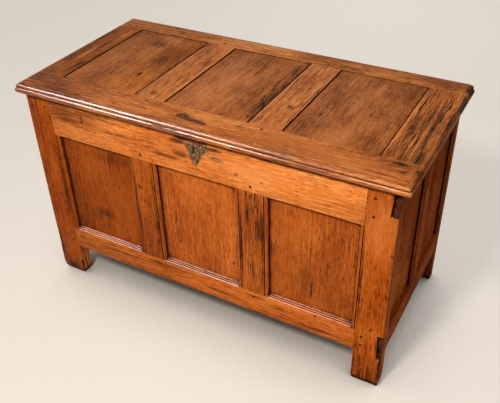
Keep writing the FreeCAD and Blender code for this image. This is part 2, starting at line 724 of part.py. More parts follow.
def lid_panel(label, start, end):
    """Lid panel: its field stops short of the uprights, which leaves an open channel on each side."""
    reach = "(groove_depth - panel_edge_room)"
    tongue = box(label + "_tongue", start + " - " + reach, end + " + " + reach,
                 "lid_front_inner - " + reach, "lid_back_inner + " + reach, "lid_groove_level",
                 "lid_groove_top - panel_play")
    raised = box(label + "_field", start + " + lid_channel", end + " - lid_channel", "lid_front_inner",
                 "lid_back_inner", "lid_groove_level", "lid_thick - lid_panel_drop")
    joined("MultiFuse", label, [tongue, raised], z="lid_bottom")


def framed_lid():
    """Rails, uprights, panels and pegs of the lid."""
    front = lid_rail("lid_front_rail", "-lid_y", "lid_front_inner", "lid_front_inner", -1)
    edge = new_sketch(front, "YZ")
    nose(edge, "-lid_y", 1)
    pocket(front, edge)
    back = lid_rail("lid_back_rail", "lid_back_inner", "lid_y", "lid_back_inner", 1)
    pegs = []
    for label, start, end, count in LID_UPRIGHTS:
        lid_upright(label, start, end, count)
        for x, y in lid_peg_spots(start, end, count):
            pegs.append(peg("lid_peg_%d" % (len(pegs) + 1), x, y, "0", "lid_thick"))
    for i, label in enumerate(("lid_left_panel", "lid_middle_panel", "lid_right_panel")):
        lid_panel(label, LID_UPRIGHTS[i][2], LID_UPRIGHTS[i + 1][1])
    joined("Compound", "lid_pegs", pegs, z="lid_bottom")
    return front, back


# Ironwork

def bar(kind, name, radius, length, x, y, z, turn=None):
    """Round bar or square shank with its start at a place."""
    item = doc.addObject("Part::" + kind, name)
    if kind == "Prism":
        item.Polygon = 4
    item.setExpression("Circumradius" if kind == "Prism" else "Radius", bound(radius))
    item.setExpression("Height", bound(length))
    return place(item, x, y, z, turn)


def nail(name, x, y, z, turn, length="nail_length", headed=True):
    """Square nail whose head lies on what it holds: it is driven along the turned Z axis."""
    shank = bar("Prism", name + "_shank", "nail_bore - nail_play", length, x, y, z, turn)
    if not headed:
        return shank
    back = turn.multVec(Vector(0, 0, -1))
    under = [text + " + %d * nail_head_thick" % round(part) for text, part in zip((x, y, z), back)]
    head = bar("Cylinder", name + "_head", "nail_head", "nail_head_thick", *under, turn)
    fused = doc.addObject("Part::MultiFuse", name)
    fused.Shapes = [shank, head]
    return fused


INWARDS_FROM_FRONT = Rotation(Vector(1, 0, 0), -90)
INWARDS_FROM_BACK = Rotation(Vector(1, 0, 0), 90)
UPWARDS = Rotation()

STRAP_NAILS = ["pivot_z - 0.22 * strap_length", "pivot_z - 0.52 * strap_length",
               "pivot_z - 0.82 * strap_length"]
TONGUE_NAILS = ["pivot_y - 0.22 * tongue_length", "pivot_y - 0.82 * tongue_length"]


def hinge_strap(name, x):
    """Leaf on the back of the carcass with the two outer knuckles."""
    leaf = doc.addObject("PartDesign::Body", name)
    place(leaf, x, "back_face", "pivot_z")
    half, foot = "hinge_width / 2", "strap_foot / 2"
    plate = new_sketch(leaf, "XZ")
    loop(plate, [("-" + half, "0"), ("-" + half, "-0.2 * strap_length"),
                 ("-" + foot, "-0.72 * strap_length"), ("-0.75 * strap_foot", "-0.86 * strap_length"),
                 ("0", "-strap_length"), ("0.75 * strap_foot", "-0.86 * strap_length"),
                 (foot, "-0.72 * strap_length"), (half, "-0.2 * strap_length"), (half, "0")])
    pad(leaf, plate, "leaf_thick", reverse=True)
    knuckles = new_sketch(leaf, "YZ", "-" + half)
    ring(knuckles, "pivot_y - back_face", "0", "knuckle_radius")
    pad(leaf, knuckles, "hinge_width")
    bore = new_sketch(leaf, "YZ")
    ring(bore, "pivot_y - back_face", "0", "pin_bore")
    pocket(leaf, bore)
    gap = new_sketch(leaf, "XZ")
    room = "middle_knuckle / 2 + knuckle_play"
    rect(gap, minus(room), room, "-knuckle_radius - 2 * knuckle_play", "knuckle_radius + 1")
    pocket(leaf, gap)
    holes = new_sketch(leaf, "XZ")
    for level in STRAP_NAILS:
        ring(holes, "0", level + " - pivot_z", "nail_bore")
    pocket(leaf, holes)
    return leaf


def hinge_tongue(name, x):
    """Leaf let in under the lid with the middle knuckle."""
    leaf = doc.addObject("PartDesign::Body", name)
    place(leaf, x, "pivot_y", "pivot_z")
    half, foot = "hinge_width / 2", "strap_foot / 2"
    neck = "middle_knuckle / 2"
    plate = new_sketch(leaf, "XY", "lid_bottom - leaf_thick - pivot_z")
    root = "-knuckle_radius - knuckle_play"
    loop(plate, [("-" + neck, "0"), ("-" + neck, root), ("-" + half, root),
                 ("-" + half, "-0.5 * tongue_length"), ("-" + foot, "-0.9 * tongue_length"),
                 ("0", "-tongue_length"), (foot, "-0.9 * tongue_length"),
                 (half, "-0.5 * tongue_length"), (half, root), (neck, root), (neck, "0")])
    pad(leaf, plate, "leaf_thick")
    knuckle = new_sketch(leaf, "YZ", "-" + neck)
    ring(knuckle, "0", "0", "knuckle_radius")
    pad(leaf, knuckle, "middle_knuckle")
    bore = new_sketch(leaf, "YZ")
    ring(bore, "0", "0", "pin_bore")
    pocket(leaf, bore)
    holes = new_sketch(leaf, "XY")
    for y in TONGUE_NAILS:
        ring(holes, "0", y + " - pivot_y", "nail_bore")
    pocket(leaf, holes)
    return leaf


def hinges(rear_rail, lid_back_rail):
    """Two strap hinges, their pins and nails, and the cuts that they need."""
    along_x = Rotation(Vector(0, 1, 0), 90)
    centres = ["-hinge_spread", "hinge_spread"]
    straps, tongues, pins, strap_nails, tongue_nails = [], [], [], [], []
    for i, x in enumerate(centres, start=1):
        straps.append(hinge_strap("strap_%d" % i, x))
        tongues.append(hinge_tongue("tongue_%d" % i, x))
        start, end = x + " - hinge_width / 2", x + " + hinge_width / 2"
        core = bar("Cylinder", "pin_core_%d" % i, "pin_bore - pin_play", "hinge_width", start, "pivot_y",
                   "pivot_z", along_x)
        heads = [bar("Cylinder", "pin_head_%d_%d" % (i, j), "rivet_radius", "rivet_thick", place_x,
                     "pivot_y", "pivot_z", along_x)
                 for j, place_x in enumerate((start + " - rivet_thick", end))]
        pin = doc.addObject("Part::MultiFuse", "pin_%d" % i)
        pin.Shapes = [core] + heads
        pins.append(pin)
        for j, z in enumerate(STRAP_NAILS):
            strap_nails.append(nail("strap_nail_%d_%d" % (i, j), x, "back_face + leaf_thick", z,
                                    INWARDS_FROM_BACK))
        for j, y in enumerate(TONGUE_NAILS):
            tongue_nails.append(nail("tongue_nail_%d_%d" % (i, j), x, y, "lid_bottom - leaf_thick",
                                     UPWARDS, "lid_thick + leaf_thick", headed=False))
    joined("Compound", "hinge_straps", straps)
    joined("Compound", "hinge_tongues", tongues)
    joined("Compound", "hinge_pins", pins)
    joined("Compound", "hinge_strap_nails", strap_nails)

    # The rear rail seen from outside: x runs the other way.
    notch = new_sketch(rear_rail, "XY", "carcass_top + 1")
    for x in centres:
        rect(notch, "-(%s) - hinge_width / 2 - floor_play" % x, "-(%s) + hinge_width / 2 + floor_play" % x,
             "-1", "rail_thick + 1")
    pocket(rear_rail, notch, "leaf_thick + 1")
    holes = new_sketch(rear_rail, "XZ")
    for x in centres:
        for z in STRAP_NAILS:
            ring(holes, "-(%s)" % x, z, "nail_bore")
    pocket(rear_rail, holes, "nail_length")
    holes = new_sketch(lid_back_rail, "XY")
    for x in centres:
        for y in TONGUE_NAILS:
            ring(holes, x, y, "nail_bore")
    pocket(lid_back_rail, holes)
    return tongue_nails


def keyhole(sketch, x, z):
    """Keyhole outline: round eye below, narrow slot above it."""
    rise = "sqrt(key_eye ^ 2 - (key_slot_width / 2) ^ 2)"
    half = "key_slot_width / 2"
    top = "%s + key_slot_rise - %s" % (z, half)
    right = ("%s + %s" % (x, half), "%s + %s" % (z, rise))
    left = ("%s - %s" % (x, half), "%s + %s" % (z, rise))
    loop(sketch, [left + ("key_eye",), ("%s - key_eye" % x, z, "key_eye"),
                  (x, "%s - key_eye" % z, "key_eye"), ("%s + key_eye" % x, z, "key_eye"), right,
                  ("%s + %s" % (x, half), top, half), (x, top + " + " + half, half),
                  ("%s - %s" % (x, half), top)])


ESCUTCHEON_PINS = [("-19", "21"), ("35", "22"), ("3", "-28")]
CASE_NAILS = [("-1", "0.15"), ("-1", "0.85"), ("1", "0.15"), ("1", "0.85")]


def escutcheon(front_rail):
    """Cut iron shield with one wing left, on the front rail, and the keyhole behind it."""
    body = new_body("escutcheon", "key_x", "front_face", "key_z")
    outline = new_sketch(body, "XZ")
    half, top, tip = "plate_half_width", "plate_top_rise", "plate_tip_drop"
    loop(outline, [("-" + half, "0.66 * " + top), ("0.12 * " + half, "-" + tip, "2.4 * " + tip),
                   ("0.7 * " + half, "-0.4 * " + tip), ("0.8 * " + half, "-0.05 * " + top),
                   ("wing_reach - 8", "0.36 * " + top, "0.8 * wing_reach"), ("wing_reach", "0.68 * " + top),
                   ("wing_reach - 5", "1.12 * " + top), ("wing_reach - 14", "1.14 * " + top),
                   ("wing_reach - 18", "0.78 * " + top), ("0.78 * " + half, "0.82 * " + top),
                   ("0.62 * " + half, "1.04 * " + top), ("-0.1 * " + half, top),
                   ("-0.94 * " + half, "0.86 * " + top)])
    pad(body, outline, "plate_thick")
    hole = new_sketch(body, "XZ")
    keyhole(hole, "0", "0")
    pocket(body, hole)
    pins = new_sketch(body, "XZ")
    for x, z in ESCUTCHEON_PINS:
        ring(pins, x, z, "escutcheon_pin_bore")
    pocket(body, pins)

    made = []
    for i, (x, z) in enumerate(ESCUTCHEON_PINS):
        shank = bar("Prism", "escutcheon_shank_%d" % i, "escutcheon_pin_bore - nail_play",
                    "escutcheon_pin_length", "key_x + " + x, "front_face - plate_thick", "key_z + " + z,
                    INWARDS_FROM_FRONT)
        dome = doc.addObject("Part::Sphere", "escutcheon_dome_%d" % i)
        dome.setExpression("Radius", bound("pin_head"))
        dome.Angle1 = 0
        place(dome, "key_x + " + x, "front_face - plate_thick", "key_z + " + z, INWARDS_FROM_BACK)
        whole = doc.addObject("Part::MultiFuse", "escutcheon_pin_%d" % i)
        whole.Shapes = [shank, dome]
        made.append(whole)
    joined("Compound", "escutcheon_pins", made)

    hole = new_sketch(front_rail, "XZ")
    keyhole(hole, "key_x", "key_z")
    pocket(front_rail, hole)
    holes = new_sketch(front_rail, "XZ")
    for x, z in ESCUTCHEON_PINS:
        ring(holes, "key_x + " + x, "key_z + " + z, "escutcheon_pin_bore")
    pocket(front_rail, holes, "escutcheon_pin_length")
    holes = new_sketch(front_rail, "XZ", "rail_thick")
    for side, share in CASE_NAILS:
        ring(holes, "%s * (case_width + case_ear) / 2" % side, "case_bottom + %s * case_height" % share,
             "nail_bore")
    pocket(front_rail, holes, "nail_length", reverse=True)


def lock_case():
    """Iron box behind the front rail, open towards the wood, with ears and a slot for the staple."""
    body = new_body("lock_case", y="case_front", z="case_bottom")
    half = "case_width / 2"
    ears = new_sketch(body, "XZ")
    rect(ears, minus(half + " + case_ear"), half + " + case_ear", "0", "case_height")
    pad(body, ears, "case_wall", reverse=True)
    shell = new_sketch(body, "XZ")
    rect(shell, minus(half), half, "0", "case_height")
    pad(body, shell, "case_depth", reverse=True)
    hollow = new_sketch(body, "XZ")
    rect(hollow, minus(half + " - case_wall"), half + " - case_wall", "case_wall",
         "case_height - case_wall")
    pocket(body, hollow, "case_depth - case_wall")
    slot = new_sketch(body, "XY", "case_height + 1")
    room = "staple_thick / 2 + 2 * case_wall"
    rect(slot, "staple_x - (%s)" % room, "staple_x + " + room, "case_wall", "case_depth - case_wall")
    pocket(body, slot, "case_wall + 2")
    holes = new_sketch(body, "XZ")
    for side, share in CASE_NAILS:
        ring(holes, "%s * (case_width + case_ear) / 2" % side, share + " * case_height", "nail_bore")
    pocket(body, holes)
    nails = [nail("lock_nail_%d" % i, "%s * (case_width + case_ear) / 2" % side, "case_front + case_wall",
                  "case_bottom + %s * case_height" % share, INWARDS_FROM_BACK)
             for i, (side, share) in enumerate(CASE_NAILS)]
    joined("Compound", "lock_nails", nails)


def lock_bolt():
    """Sliding bolt with the notch that the key turns in and two spring notches on top."""
    body = new_body("lock_bolt", y="bolt_middle - bolt_thick / 2", z="bolt_level")
    outline = new_sketch(body, "XZ")
    notches = []
    for shift in ("+ bolt_throw", ""):
        middle = "spring_nib_x %s" % shift
        floor = "bolt_height - bolt_notch_depth"
        notches += [(middle + " + bolt_notch_width / 2", "bolt_height"), (middle, floor),
                    (middle + " - bolt_notch_width / 2", "bolt_height")]
    loop(outline, [("bolt_nose", "0"), ("key_x - talon_width / 2", "0"),
                   ("key_x - talon_width / 2", "talon_depth"), ("key_x + talon_width / 2", "talon_depth"),
                   ("key_x + talon_width / 2", "0"), ("bolt_tail", "0"), ("bolt_tail", "bolt_height")]
         + notches + [("bolt_nose", "bolt_height")])
    pad(body, outline, "bolt_thick", reverse=True)


def bolt_guides():
    """Three forged loops on the case that the bolt slides in."""
    starts = ["staple_x - staple_thick / 2 - 10", "bolt_nose + 2",
              "bolt_tail - bolt_throw - 2 - 2 * guide_length"]
    side_gap = "(bolt_thick / 2 + bolt_play)"
    guides = []
    for i, start in enumerate(starts, start=1):
        block = box("guide_block_%d" % i, start, start + " + guide_length",
                    "bolt_middle - %s - guide_wall" % side_gap, "case_back - case_wall",
                    "bolt_level - bolt_play - guide_wall",
                    "bolt_level + bolt_height + bolt_play + guide_wall")
        gap = box("guide_gap_%d" % i, start + " - 1", start + " + guide_length + 1",
                  "bolt_middle - " + side_gap, "bolt_middle + " + side_gap, "bolt_level - bolt_play",
                  "bolt_level + bolt_height + bolt_play")
        cut = doc.addObject("Part::Cut", "guide_%d" % i)
        cut.Base, cut.Tool = block, gap
        guides.append(cut)
    joined("Compound", "bolt_guides", guides)


def lock_spring():
    """Leaf spring from the end of the case down to the notch in the bolt."""
    body = new_body("lock_spring", y="bolt_middle - bolt_thick / 2", z="bolt_level + bolt_height")
    leaf = new_sketch(body, "XZ")
    wall = "case_width / 2 - case_wall"
    nib = "spring_nib_x"
    loop(leaf, [(nib, "bolt_play"), (nib + " + 2", "bolt_play + 2"),
                (wall + " - 3", "spring_foot_height - spring_thick"), (wall + " - spring_thick", "2"),
                (wall, "2"), (wall, "spring_foot_height"), (nib + " + 2", "bolt_play + 2 + spring_thick"),
                (nib + " - 3", "bolt_play + 3")])
    pad(body, leaf, "bolt_thick", reverse=True)


def key_pin():
    """Pin in the lock that a hollow key turns on."""
    pin = bar("Cylinder", "key_pin_bar", "key_pin_radius", "case_depth - case_wall + rail_thick / 2",
              "key_x", "case_back - case_wall", "key_z", INWARDS_FROM_BACK)
    keep(pin, "key_pin")


def lid_staple(lid_front_rail):
    """Looped staple on a plate under the lid, with the nails that come through the lid."""
    body = new_body("lid_staple", "staple_x", "bolt_middle", "lid_bottom")
    half = "staple_gap / 2 + staple_leg"
    inner = "staple_gap / 2"
    plate = new_sketch(body, "XY")
    rect(plate, "-staple_plate_length / 2", "staple_plate_length / 2", minus(half), half)
    pad(body, plate, "staple_plate_thick", reverse=True)
    legs = new_sketch(body, "YZ", "-staple_thick / 2")
    bottom = "-staple_drop"
    loop(legs, [(minus(half), "0"), (minus(half), bottom + " + " + half, half),
                ("0", bottom, half), (half, bottom + " + " + half), (half, "0"), (inner, "0"),
                (inner, bottom + " + " + half), (minus(inner), bottom + " + " + half),
                (minus(inner), "0")])
    pad(body, legs, "staple_thick")
    holes = new_sketch(body, "XY")
    for sign in ("-", ""):
        ring(holes, sign + "staple_nail_spread", "0", "nail_bore")
    pocket(body, holes)

    bores = new_sketch(lid_front_rail, "XY")
    nails = []
    for i, sign in enumerate(("-", "+")):
        x = "staple_x %s staple_nail_spread" % sign
        ring(bores, x, "bolt_middle", "nail_bore")
        nails.append(nail("staple_nail_%d" % i, x, "bolt_middle", "lid_bottom - staple_plate_thick",
                          UPWARDS, "lid_thick + staple_plate_thick"))
    pocket(lid_front_rail, bores)
    return nails


# Assembly

for each_side in SIDES:
    frame_side(each_side)
stile("front_left_stile", "left_stile_width", 1, 1)
stile("front_right_stile", "right_stile_width", -1, 1)
stile("rear_left_stile", "left_stile_width", 1, -1)
stile("rear_right_stile", "right_stile_width", -1, -1)
floor_boards(4)
front_lid_rail, back_lid_rail = framed_lid()
lid_nails = hinges(SIDES[1].rails["top"], back_lid_rail)
escutcheon(SIDES[0].rails["top"])
lock_case()
lock_bolt()
bolt_guides()
lock_spring()
key_pin()
lid_nails += lid_staple(front_lid_rail)
joined("Compound", "lid_nails", lid_nails)
doc.recompute()

# Nothing is written unless every object is sound, every pad adds and every pocket cuts.
for item in doc.Objects:
    if "Invalid" in item.State or "Error" in item.State:
        raise RuntimeError("%s failed: %s" % (item.Label, item.State))
    if item.TypeId in ("PartDesign::Pad", "PartDesign::Pocket") and item.BaseFeature:
        change = item.Shape.Volume - item.BaseFeature.Shape.Volume
        if (change <= 0) == (item.TypeId == "PartDesign::Pad"):
            raise RuntimeError("%s changes nothing: %.3f" % (item.Label, change))
for item in parts:
    if item.Shape.isNull() or not item.Shape.isValid() or not item.Shape.Solids:
        raise RuntimeError(item.Label + " is not a sound solid")

os.makedirs("parts", exist_ok=True)
for item in parts:
    item.Shape.exportStep("parts/" + item.Label + ".step")
print("%d parts" % len(parts))
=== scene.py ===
"""The looks of a joined oak coffer: waxed boards, mouldings, wear, ironwork, and a plain studio round it."""

import json
import logging
import math
import random
from dataclasses import dataclass, replace
from enum import Enum
from typing import Callable, Iterable, Sequence

import bmesh
import bpy
from mathutils import Matrix, Vector

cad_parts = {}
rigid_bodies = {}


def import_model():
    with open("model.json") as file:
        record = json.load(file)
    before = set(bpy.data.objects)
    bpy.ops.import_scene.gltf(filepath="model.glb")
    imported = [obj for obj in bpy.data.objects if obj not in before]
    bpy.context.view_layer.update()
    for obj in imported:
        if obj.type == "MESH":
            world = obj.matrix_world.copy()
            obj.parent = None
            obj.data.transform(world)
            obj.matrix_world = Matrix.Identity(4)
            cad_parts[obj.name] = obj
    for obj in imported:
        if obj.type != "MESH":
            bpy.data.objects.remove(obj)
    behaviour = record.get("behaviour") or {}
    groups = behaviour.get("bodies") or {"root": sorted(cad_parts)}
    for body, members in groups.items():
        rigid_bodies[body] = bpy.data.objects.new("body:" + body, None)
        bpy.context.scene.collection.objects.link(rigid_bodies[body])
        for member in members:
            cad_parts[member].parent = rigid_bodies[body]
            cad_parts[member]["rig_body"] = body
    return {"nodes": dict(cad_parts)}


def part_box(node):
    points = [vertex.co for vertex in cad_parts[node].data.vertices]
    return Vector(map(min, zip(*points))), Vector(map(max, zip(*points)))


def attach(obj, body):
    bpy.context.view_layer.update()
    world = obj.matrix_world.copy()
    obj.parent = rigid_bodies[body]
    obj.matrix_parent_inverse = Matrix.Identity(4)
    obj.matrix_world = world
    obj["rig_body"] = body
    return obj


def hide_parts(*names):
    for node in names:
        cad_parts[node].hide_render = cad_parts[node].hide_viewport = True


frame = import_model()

LOG = logging.getLogger("coffer")
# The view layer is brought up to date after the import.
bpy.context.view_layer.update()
MM = 0.001
Colour = tuple[float, float, float]
Point = tuple[float, float, float]
Row = tuple[float, ...]
Socket = bpy.types.NodeSocket
Feeds = dict[int | str, object]
# How far a seed moves the patterns of oak and of iron, in metres.
SEED_STEP = (3.17, 1.93, 2.41)
IRON_STEP = (1.7, 0.0, 2.3)
# In millimetres, how wide the oak's year rings are, how far its arrises look soft and are rubbed, with a
# painted highlight, and how far dirt and painted shade reach round a corner. After them stand the colours of
# its flecks and of that dirt and painted shade.
RING = 12.0
SOFT_ARRIS = 0.9
RUBBED_ARRIS = 2.6
DIRT_AND_SHADE_REACH = 26.0
FLECK_COLOUR = (40, 18, 8)
DIRT_AND_SHADE_COLOUR = (22, 9, 4)
# The space inside the carcass, in millimetres, where its wood was never oiled.
INNER = ((-537.0, -239.5, 190.0), (537.0, 244.0, 661.3))


def linear(colour: Colour) -> tuple[float, float, float, float]:
    """Turns a colour as seen on a screen into the shader's linear one.

    Args:
        colour: Red, green and blue from 0 to 255.

    Returns:
        Red, green, blue and a full alpha.
    """
    shares = (part / 255 for part in colour)
    made = [share / 12.92 if share < 0.04045 else ((share + 0.055) / 1.055) ** 2.4 for share in shares]
    return (made[0], made[1], made[2], 1.0)


def unit(axis: int, size: float = 1.0) -> Vector:
    """Gives a vector of a length along x, y or z, by the axis's number."""
    return Vector([size if each == axis else 0.0 for each in range(3)])


def paint(piece: bpy.types.Object, material: bpy.types.Material) -> None:
    """Gives a piece one material in all its slots.

    Args:
        piece: The object.
        material: Its material.
    """
    if not piece.material_slots:
        piece.data.materials.append(material)
    for place in piece.material_slots:
        place.material = material


class Grain(Enum):
    """The way a board's grain runs."""

    ALONG_X = 0
    ALONG_Y = 1
    ALONG_Z = 2


class Face(Enum):
    """A side that a board shows: the axis of its outward normal, and its sign."""

    FRONT = (1, -1)
    BACK = (1, 1)
    TOP = (2, 1)
    RIGHT = (0, 1)
    LEFT = (0, -1)


class MarkKind(Enum):
    """What a mark in the wood is: its colour, and how much of the wood below it hides."""

    KNOT = ((46, 20, 10), 0.9)
    STAIN = ((24, 15, 12), 0.93)
    # Shade marks are darker wood, and in some places painted shade where the light falls off.
    SHADE = ((74, 33, 12), 0.75)
    SPLIT = ((16, 7, 4), 1.0)
    # Pale marks are paler wood, and in some places painted light or a painted highlight.
    PALE = ((226, 140, 76), 0.6)
    BARE = ((120, 76, 42), 0.85)


class Layer(Enum):
    """A layer of noise in the wood.

    Each has its waves in a metre across the grain, how many finer layers it has, how strong those are, and
    its waves along the grain beside those across it.
    """

    PATCH = (13.0, 2.0, 0.5, 1.0)
    BLOTCH = (9.0, 3.0, 0.55, 0.45)
    MOTTLE = (105.0, 4.0, 0.82, 0.5)
    STREAK = (230.0, 4.0, 0.62, 0.04)
    FINE = (560.0, 3.0, 0.65, 0.06)
    PORE = (520.0, 2.0, 0.5, 0.045)
    RUBBED = (38.0, 2.0, 0.5, 1.0)
    WAVE = (24.0, 1.0, 0.5, 0.3)


class Sway(Enum):
    """How a pattern is moved about: waves in a metre, their finer ones' strength, metres across and along."""

    GRAIN = (5.0, 0.5, 0.018, 0.0)
    RIM = (55.0, 0.6, 0.008, 0.018)


class Specks(Enum):
    """Small dark specks: millimetres between their cells, the share that has one, and radii beside a cell."""

    FLECK = (24.0, 0.22, (0.03, 0.12))
    DOT = (8.0, 0.5, (0.06, 0.22))


@dataclass(frozen=True)
class Mark:
    """One mark at a place on a board, in millimetres.

    Attributes:
        kind: Knot, stain, shade, split, pale or bare place.
        at: Its middle.
        reach: Half its size along x, y and z.
        edge: The share of that reach within which it is at its strongest.
        strength: How strong it is there.
    """

    kind: MarkKind
    at: Point
    reach: Point
    edge: float
    strength: float


@dataclass(frozen=True)
class Split:
    """One crack, worm track or scratched groove cut into a board, in millimetres.

    Attributes:
        at: Its middle, on the surface.
        length: How long it is, along the grain.
        width: How wide its middle is.
        depth: How deep its middle is.
        face: The side that it is cut into.
        lean: How far it turns off the grain, in degrees.
        even: Whether it keeps its width to its ends, as a tool's groove does.
    """

    at: Point
    length: float
    width: float
    depth: float
    face: Face
    lean: float = 0.0
    even: bool = False


@dataclass(frozen=True)
class Plane:
    """The plane of a board's side, which marks and cuts are laid out on from rows of values, in millimetres.

    A mark's row has its middle's first and second place on the plane, half its first and second size, the
    share of its reach within which it is at its strongest, and its strength. Where they aren't the usual
    ones, half its size along the plane's axis and how far its middle lies off the plane come after them. A
    cut's row has its first and second place, length, width, depth and lean. The first place is along x, or
    along y on an end.

    Attributes:
        face: The side.
        level: Where the plane lies along the side's axis.
    """

    face: Face
    level: float

    def ordered(self, first: float, second: float, off: float) -> Point:
        """Puts two values on the plane and one along its axis in the order x, y, z.

        Args:
            first: The first value on the plane.
            second: The second one.
            off: The value along the plane's axis.

        Returns:
            The three values in order.
        """
        made = [first, second]
        made.insert(self.face.value[0], off)
        return (made[0], made[1], made[2])

    def mark(
        self, kind: MarkKind, first: float, second: float, wide: float, high: float,
        edge: float, strength: float, through: float = 30.0, off: float = 0.0,
    ) -> Mark:
        """Lays out one mark from the values of its row."""
        at = self.ordered(first, second, self.level + off)
        return Mark(kind, at, self.ordered(wide, high, through), edge, strength)

    def marks(self, rows: dict[MarkKind, list[Row]]) -> tuple[Mark, ...]:
        """Lays out several marks from their rows, by the kind of mark."""
        return tuple(self.mark(kind, *row) for kind, found in rows.items() for row in found)

    def cuts(self, *rows: Row) -> tuple[Split, ...]:
        """Lays out cracks and scratches.

        Args:
            rows: Their rows of values.

        Returns:
            The cuts.
        """
        return tuple(
            Split(self.ordered(first, second, self.level), length, width, depth, self.face, lean)
            for first, second, length, width, depth, lean in rows
        )


@dataclass(frozen=True)
class Chip:
    """A broken-away place: the uneven block that is gone, in millimetres.

    Attributes:
        low: Its lowest corner.
        high: Its highest corner.
        turn: How it is turned about the x, y and z axes, in degrees.
        ragged: How uneven its faces are.
    """

    low: Point
    high: Point
    turn: Point = (0.0, 0.0, 0.0)
    ragged: float = 0.8


@dataclass(frozen=True)
class Wax:
    """A part of a board that hands or dusters have polished, in millimetres.

    Attributes:
        low: Its lowest corner.
        high: Its highest corner.
        shine: Its specular level.
        smooth: Its roughness beside the board's.
    """

    low: Point
    high: Point
    shine: float = 0.17
    smooth: float = 0.45


@dataclass(frozen=True)
class Arris:
    """Long edges that hands and dusters have rounded, in millimetres.

    Attributes:
        face: The side that they border.
        level: Where that side lies along its axis.
        width: How far the rounding reaches.
    """

    face: Face
    level: float
    width: float = 1.4


@dataclass(frozen=True)
class Foot:
    """The worn end of a stile on the floor, in millimetres.

    Attributes:
        centre: The middle of the stile across x and y.
        levels: Heights above the floor, each with how far the wood is drawn in at the left, right and front.
    """

    centre: tuple[float, float]
    levels: tuple[tuple[float, float, float, float], ...]


@dataclass(frozen=True)
class WoodFinish:
    """One finish of waxed oak.

    Attributes:
        name: What the finish is for.
        deep: The darkest streaks.
        dark: The darker grain.
        middle: Most of the surface.
        light: The lightest streaks.
        rub: The arrises, where they are rubbed and carry a painted highlight.
        blotch: How uneven the old wax and stain are.
        streak: How strong the streaks along the grain are.
        rings: How strong the year rings are.
        pores: How strong the short open pores are.
        flecks: How many small dark flecks and worm holes there are.
        wear: How much paler the arrises are, from wear and a painted highlight.
        grime_and_shade: How much dirt and painted shade darken the corners.
        gloss: Lowest and highest roughness.
        relief: Depth of the grain in millimetres.
        shine: The wax's specular level.
    """

    name: str
    deep: Colour
    dark: Colour
    middle: Colour
    light: Colour
    rub: Colour = (226, 140, 70)
    blotch: float = 0.5
    streak: float = 0.9
    rings: float = 0.25
    pores: float = 0.35
    flecks: float = 0.4
    wear: float = 0.4
    grime_and_shade: float = 0.92
    gloss: tuple[float, float] = (0.3, 0.5)
    relief: float = 0.35
    shine: float = 0.24

    def stops(self) -> tuple[tuple[float, Colour], ...]:
        """Gives the grain's colours, each with its place from dark to light."""
        return tuple(zip((0.16, 0.36, 0.52, 0.74), (self.deep, self.dark, self.middle, self.light)))


@dataclass(frozen=True)
class IronFinish:
    """One finish of wrought iron.

    Attributes:
        name: What the finish is for.
        pit: The colour in the pits.
        skin: The colour of most of the surface.
        rub: The colour where it is rubbed.
        metal: How metallic the surface is.
        gloss: Lowest and highest roughness.
        relief: Depth of the hammered surface in millimetres.
    """

    name: str
    pit: Colour
    skin: Colour
    rub: Colour
    metal: float
    gloss: tuple[float, float]
    relief: float


FRONT = WoodFinish(
    "front", (66, 23, 4), (122, 52, 9), (164, 80, 19), (194, 112, 42),
    blotch=0.46, streak=0.6, rings=0.15, pores=0.7, flecks=0.6, gloss=(0.34, 0.5), shine=0.05,
)
RAIL = WoodFinish(
    "top rail", (112, 46, 12), (178, 90, 28), (216, 122, 46), (242, 162, 88),
    blotch=0.5, streak=0.5, rings=0.2, pores=0.7, flecks=0.8, gloss=(0.34, 0.5), shine=0.08,
)
SIDE_FRONT = replace(FRONT, name="front, dry", gloss=(0.46, 0.6), shine=0.008)
FRONT_PANEL = WoodFinish(
    "front panels", (62, 22, 4), (116, 50, 8), (154, 74, 15), (180, 100, 34),
    blotch=0.45, streak=0.5, rings=0.2, pores=0.6, flecks=0.7, gloss=(0.36, 0.52), shine=0.055,
)
LID = WoodFinish(
    "lid", (62, 26, 8), (126, 63, 21), (174, 96, 38), (210, 134, 68), (244, 172, 104),
    blotch=0.6, streak=0.65, rings=0.2, pores=1.0, flecks=0.9, gloss=(0.34, 0.52), shine=0.05,
)
LID_PANEL = WoodFinish(
    "lid panels", (66, 29, 9), (120, 62, 21), (158, 88, 36), (188, 116, 58), (226, 150, 84),
    blotch=0.7, streak=0.4, rings=0.3, pores=0.7, flecks=0.8, gloss=(0.34, 0.5), shine=0.05,
)
END = WoodFinish(
    "ends", (72, 28, 7), (138, 61, 15), (190, 94, 27), (218, 122, 47), (232, 142, 62),
    blotch=0.6, streak=0.6, rings=0.3, pores=0.6, flecks=0.4, gloss=(0.5, 0.66), shine=0.006,
)
REAR = WoodFinish(
    "rear", (66, 32, 14), (116, 66, 32), (152, 94, 48), (180, 122, 70),
    blotch=0.7, streak=1.0, rings=0.4, pores=0.6, flecks=0.5, wear=0.12, gloss=(0.55, 0.72), relief=0.5,
)
INSIDE = WoodFinish(
    "inside", (66, 38, 20), (124, 82, 48), (164, 118, 74), (194, 152, 104),
    blotch=0.6, streak=1.0, rings=0.45, pores=0.6, flecks=0.35, wear=0.1, gloss=(0.6, 0.78), relief=0.5,
)
PEG = WoodFinish(
    "pegs", (34, 13, 6), (54, 23, 10), (76, 34, 14), (104, 50, 22),
    blotch=0.5, streak=0.5, rings=0.4, pores=0.5, flecks=0.1, wear=0.1, gloss=(0.42, 0.6), shine=0.03,
)
PLATE = IronFinish("plates", (28, 18, 10), (94, 68, 40), (188, 152, 98), 0.75, (0.38, 0.6), 0.5)
LOCKWORK = IronFinish("lockwork", (20, 15, 12), (58, 46, 38), (112, 98, 84), 0.85, (0.35, 0.62), 0.3)


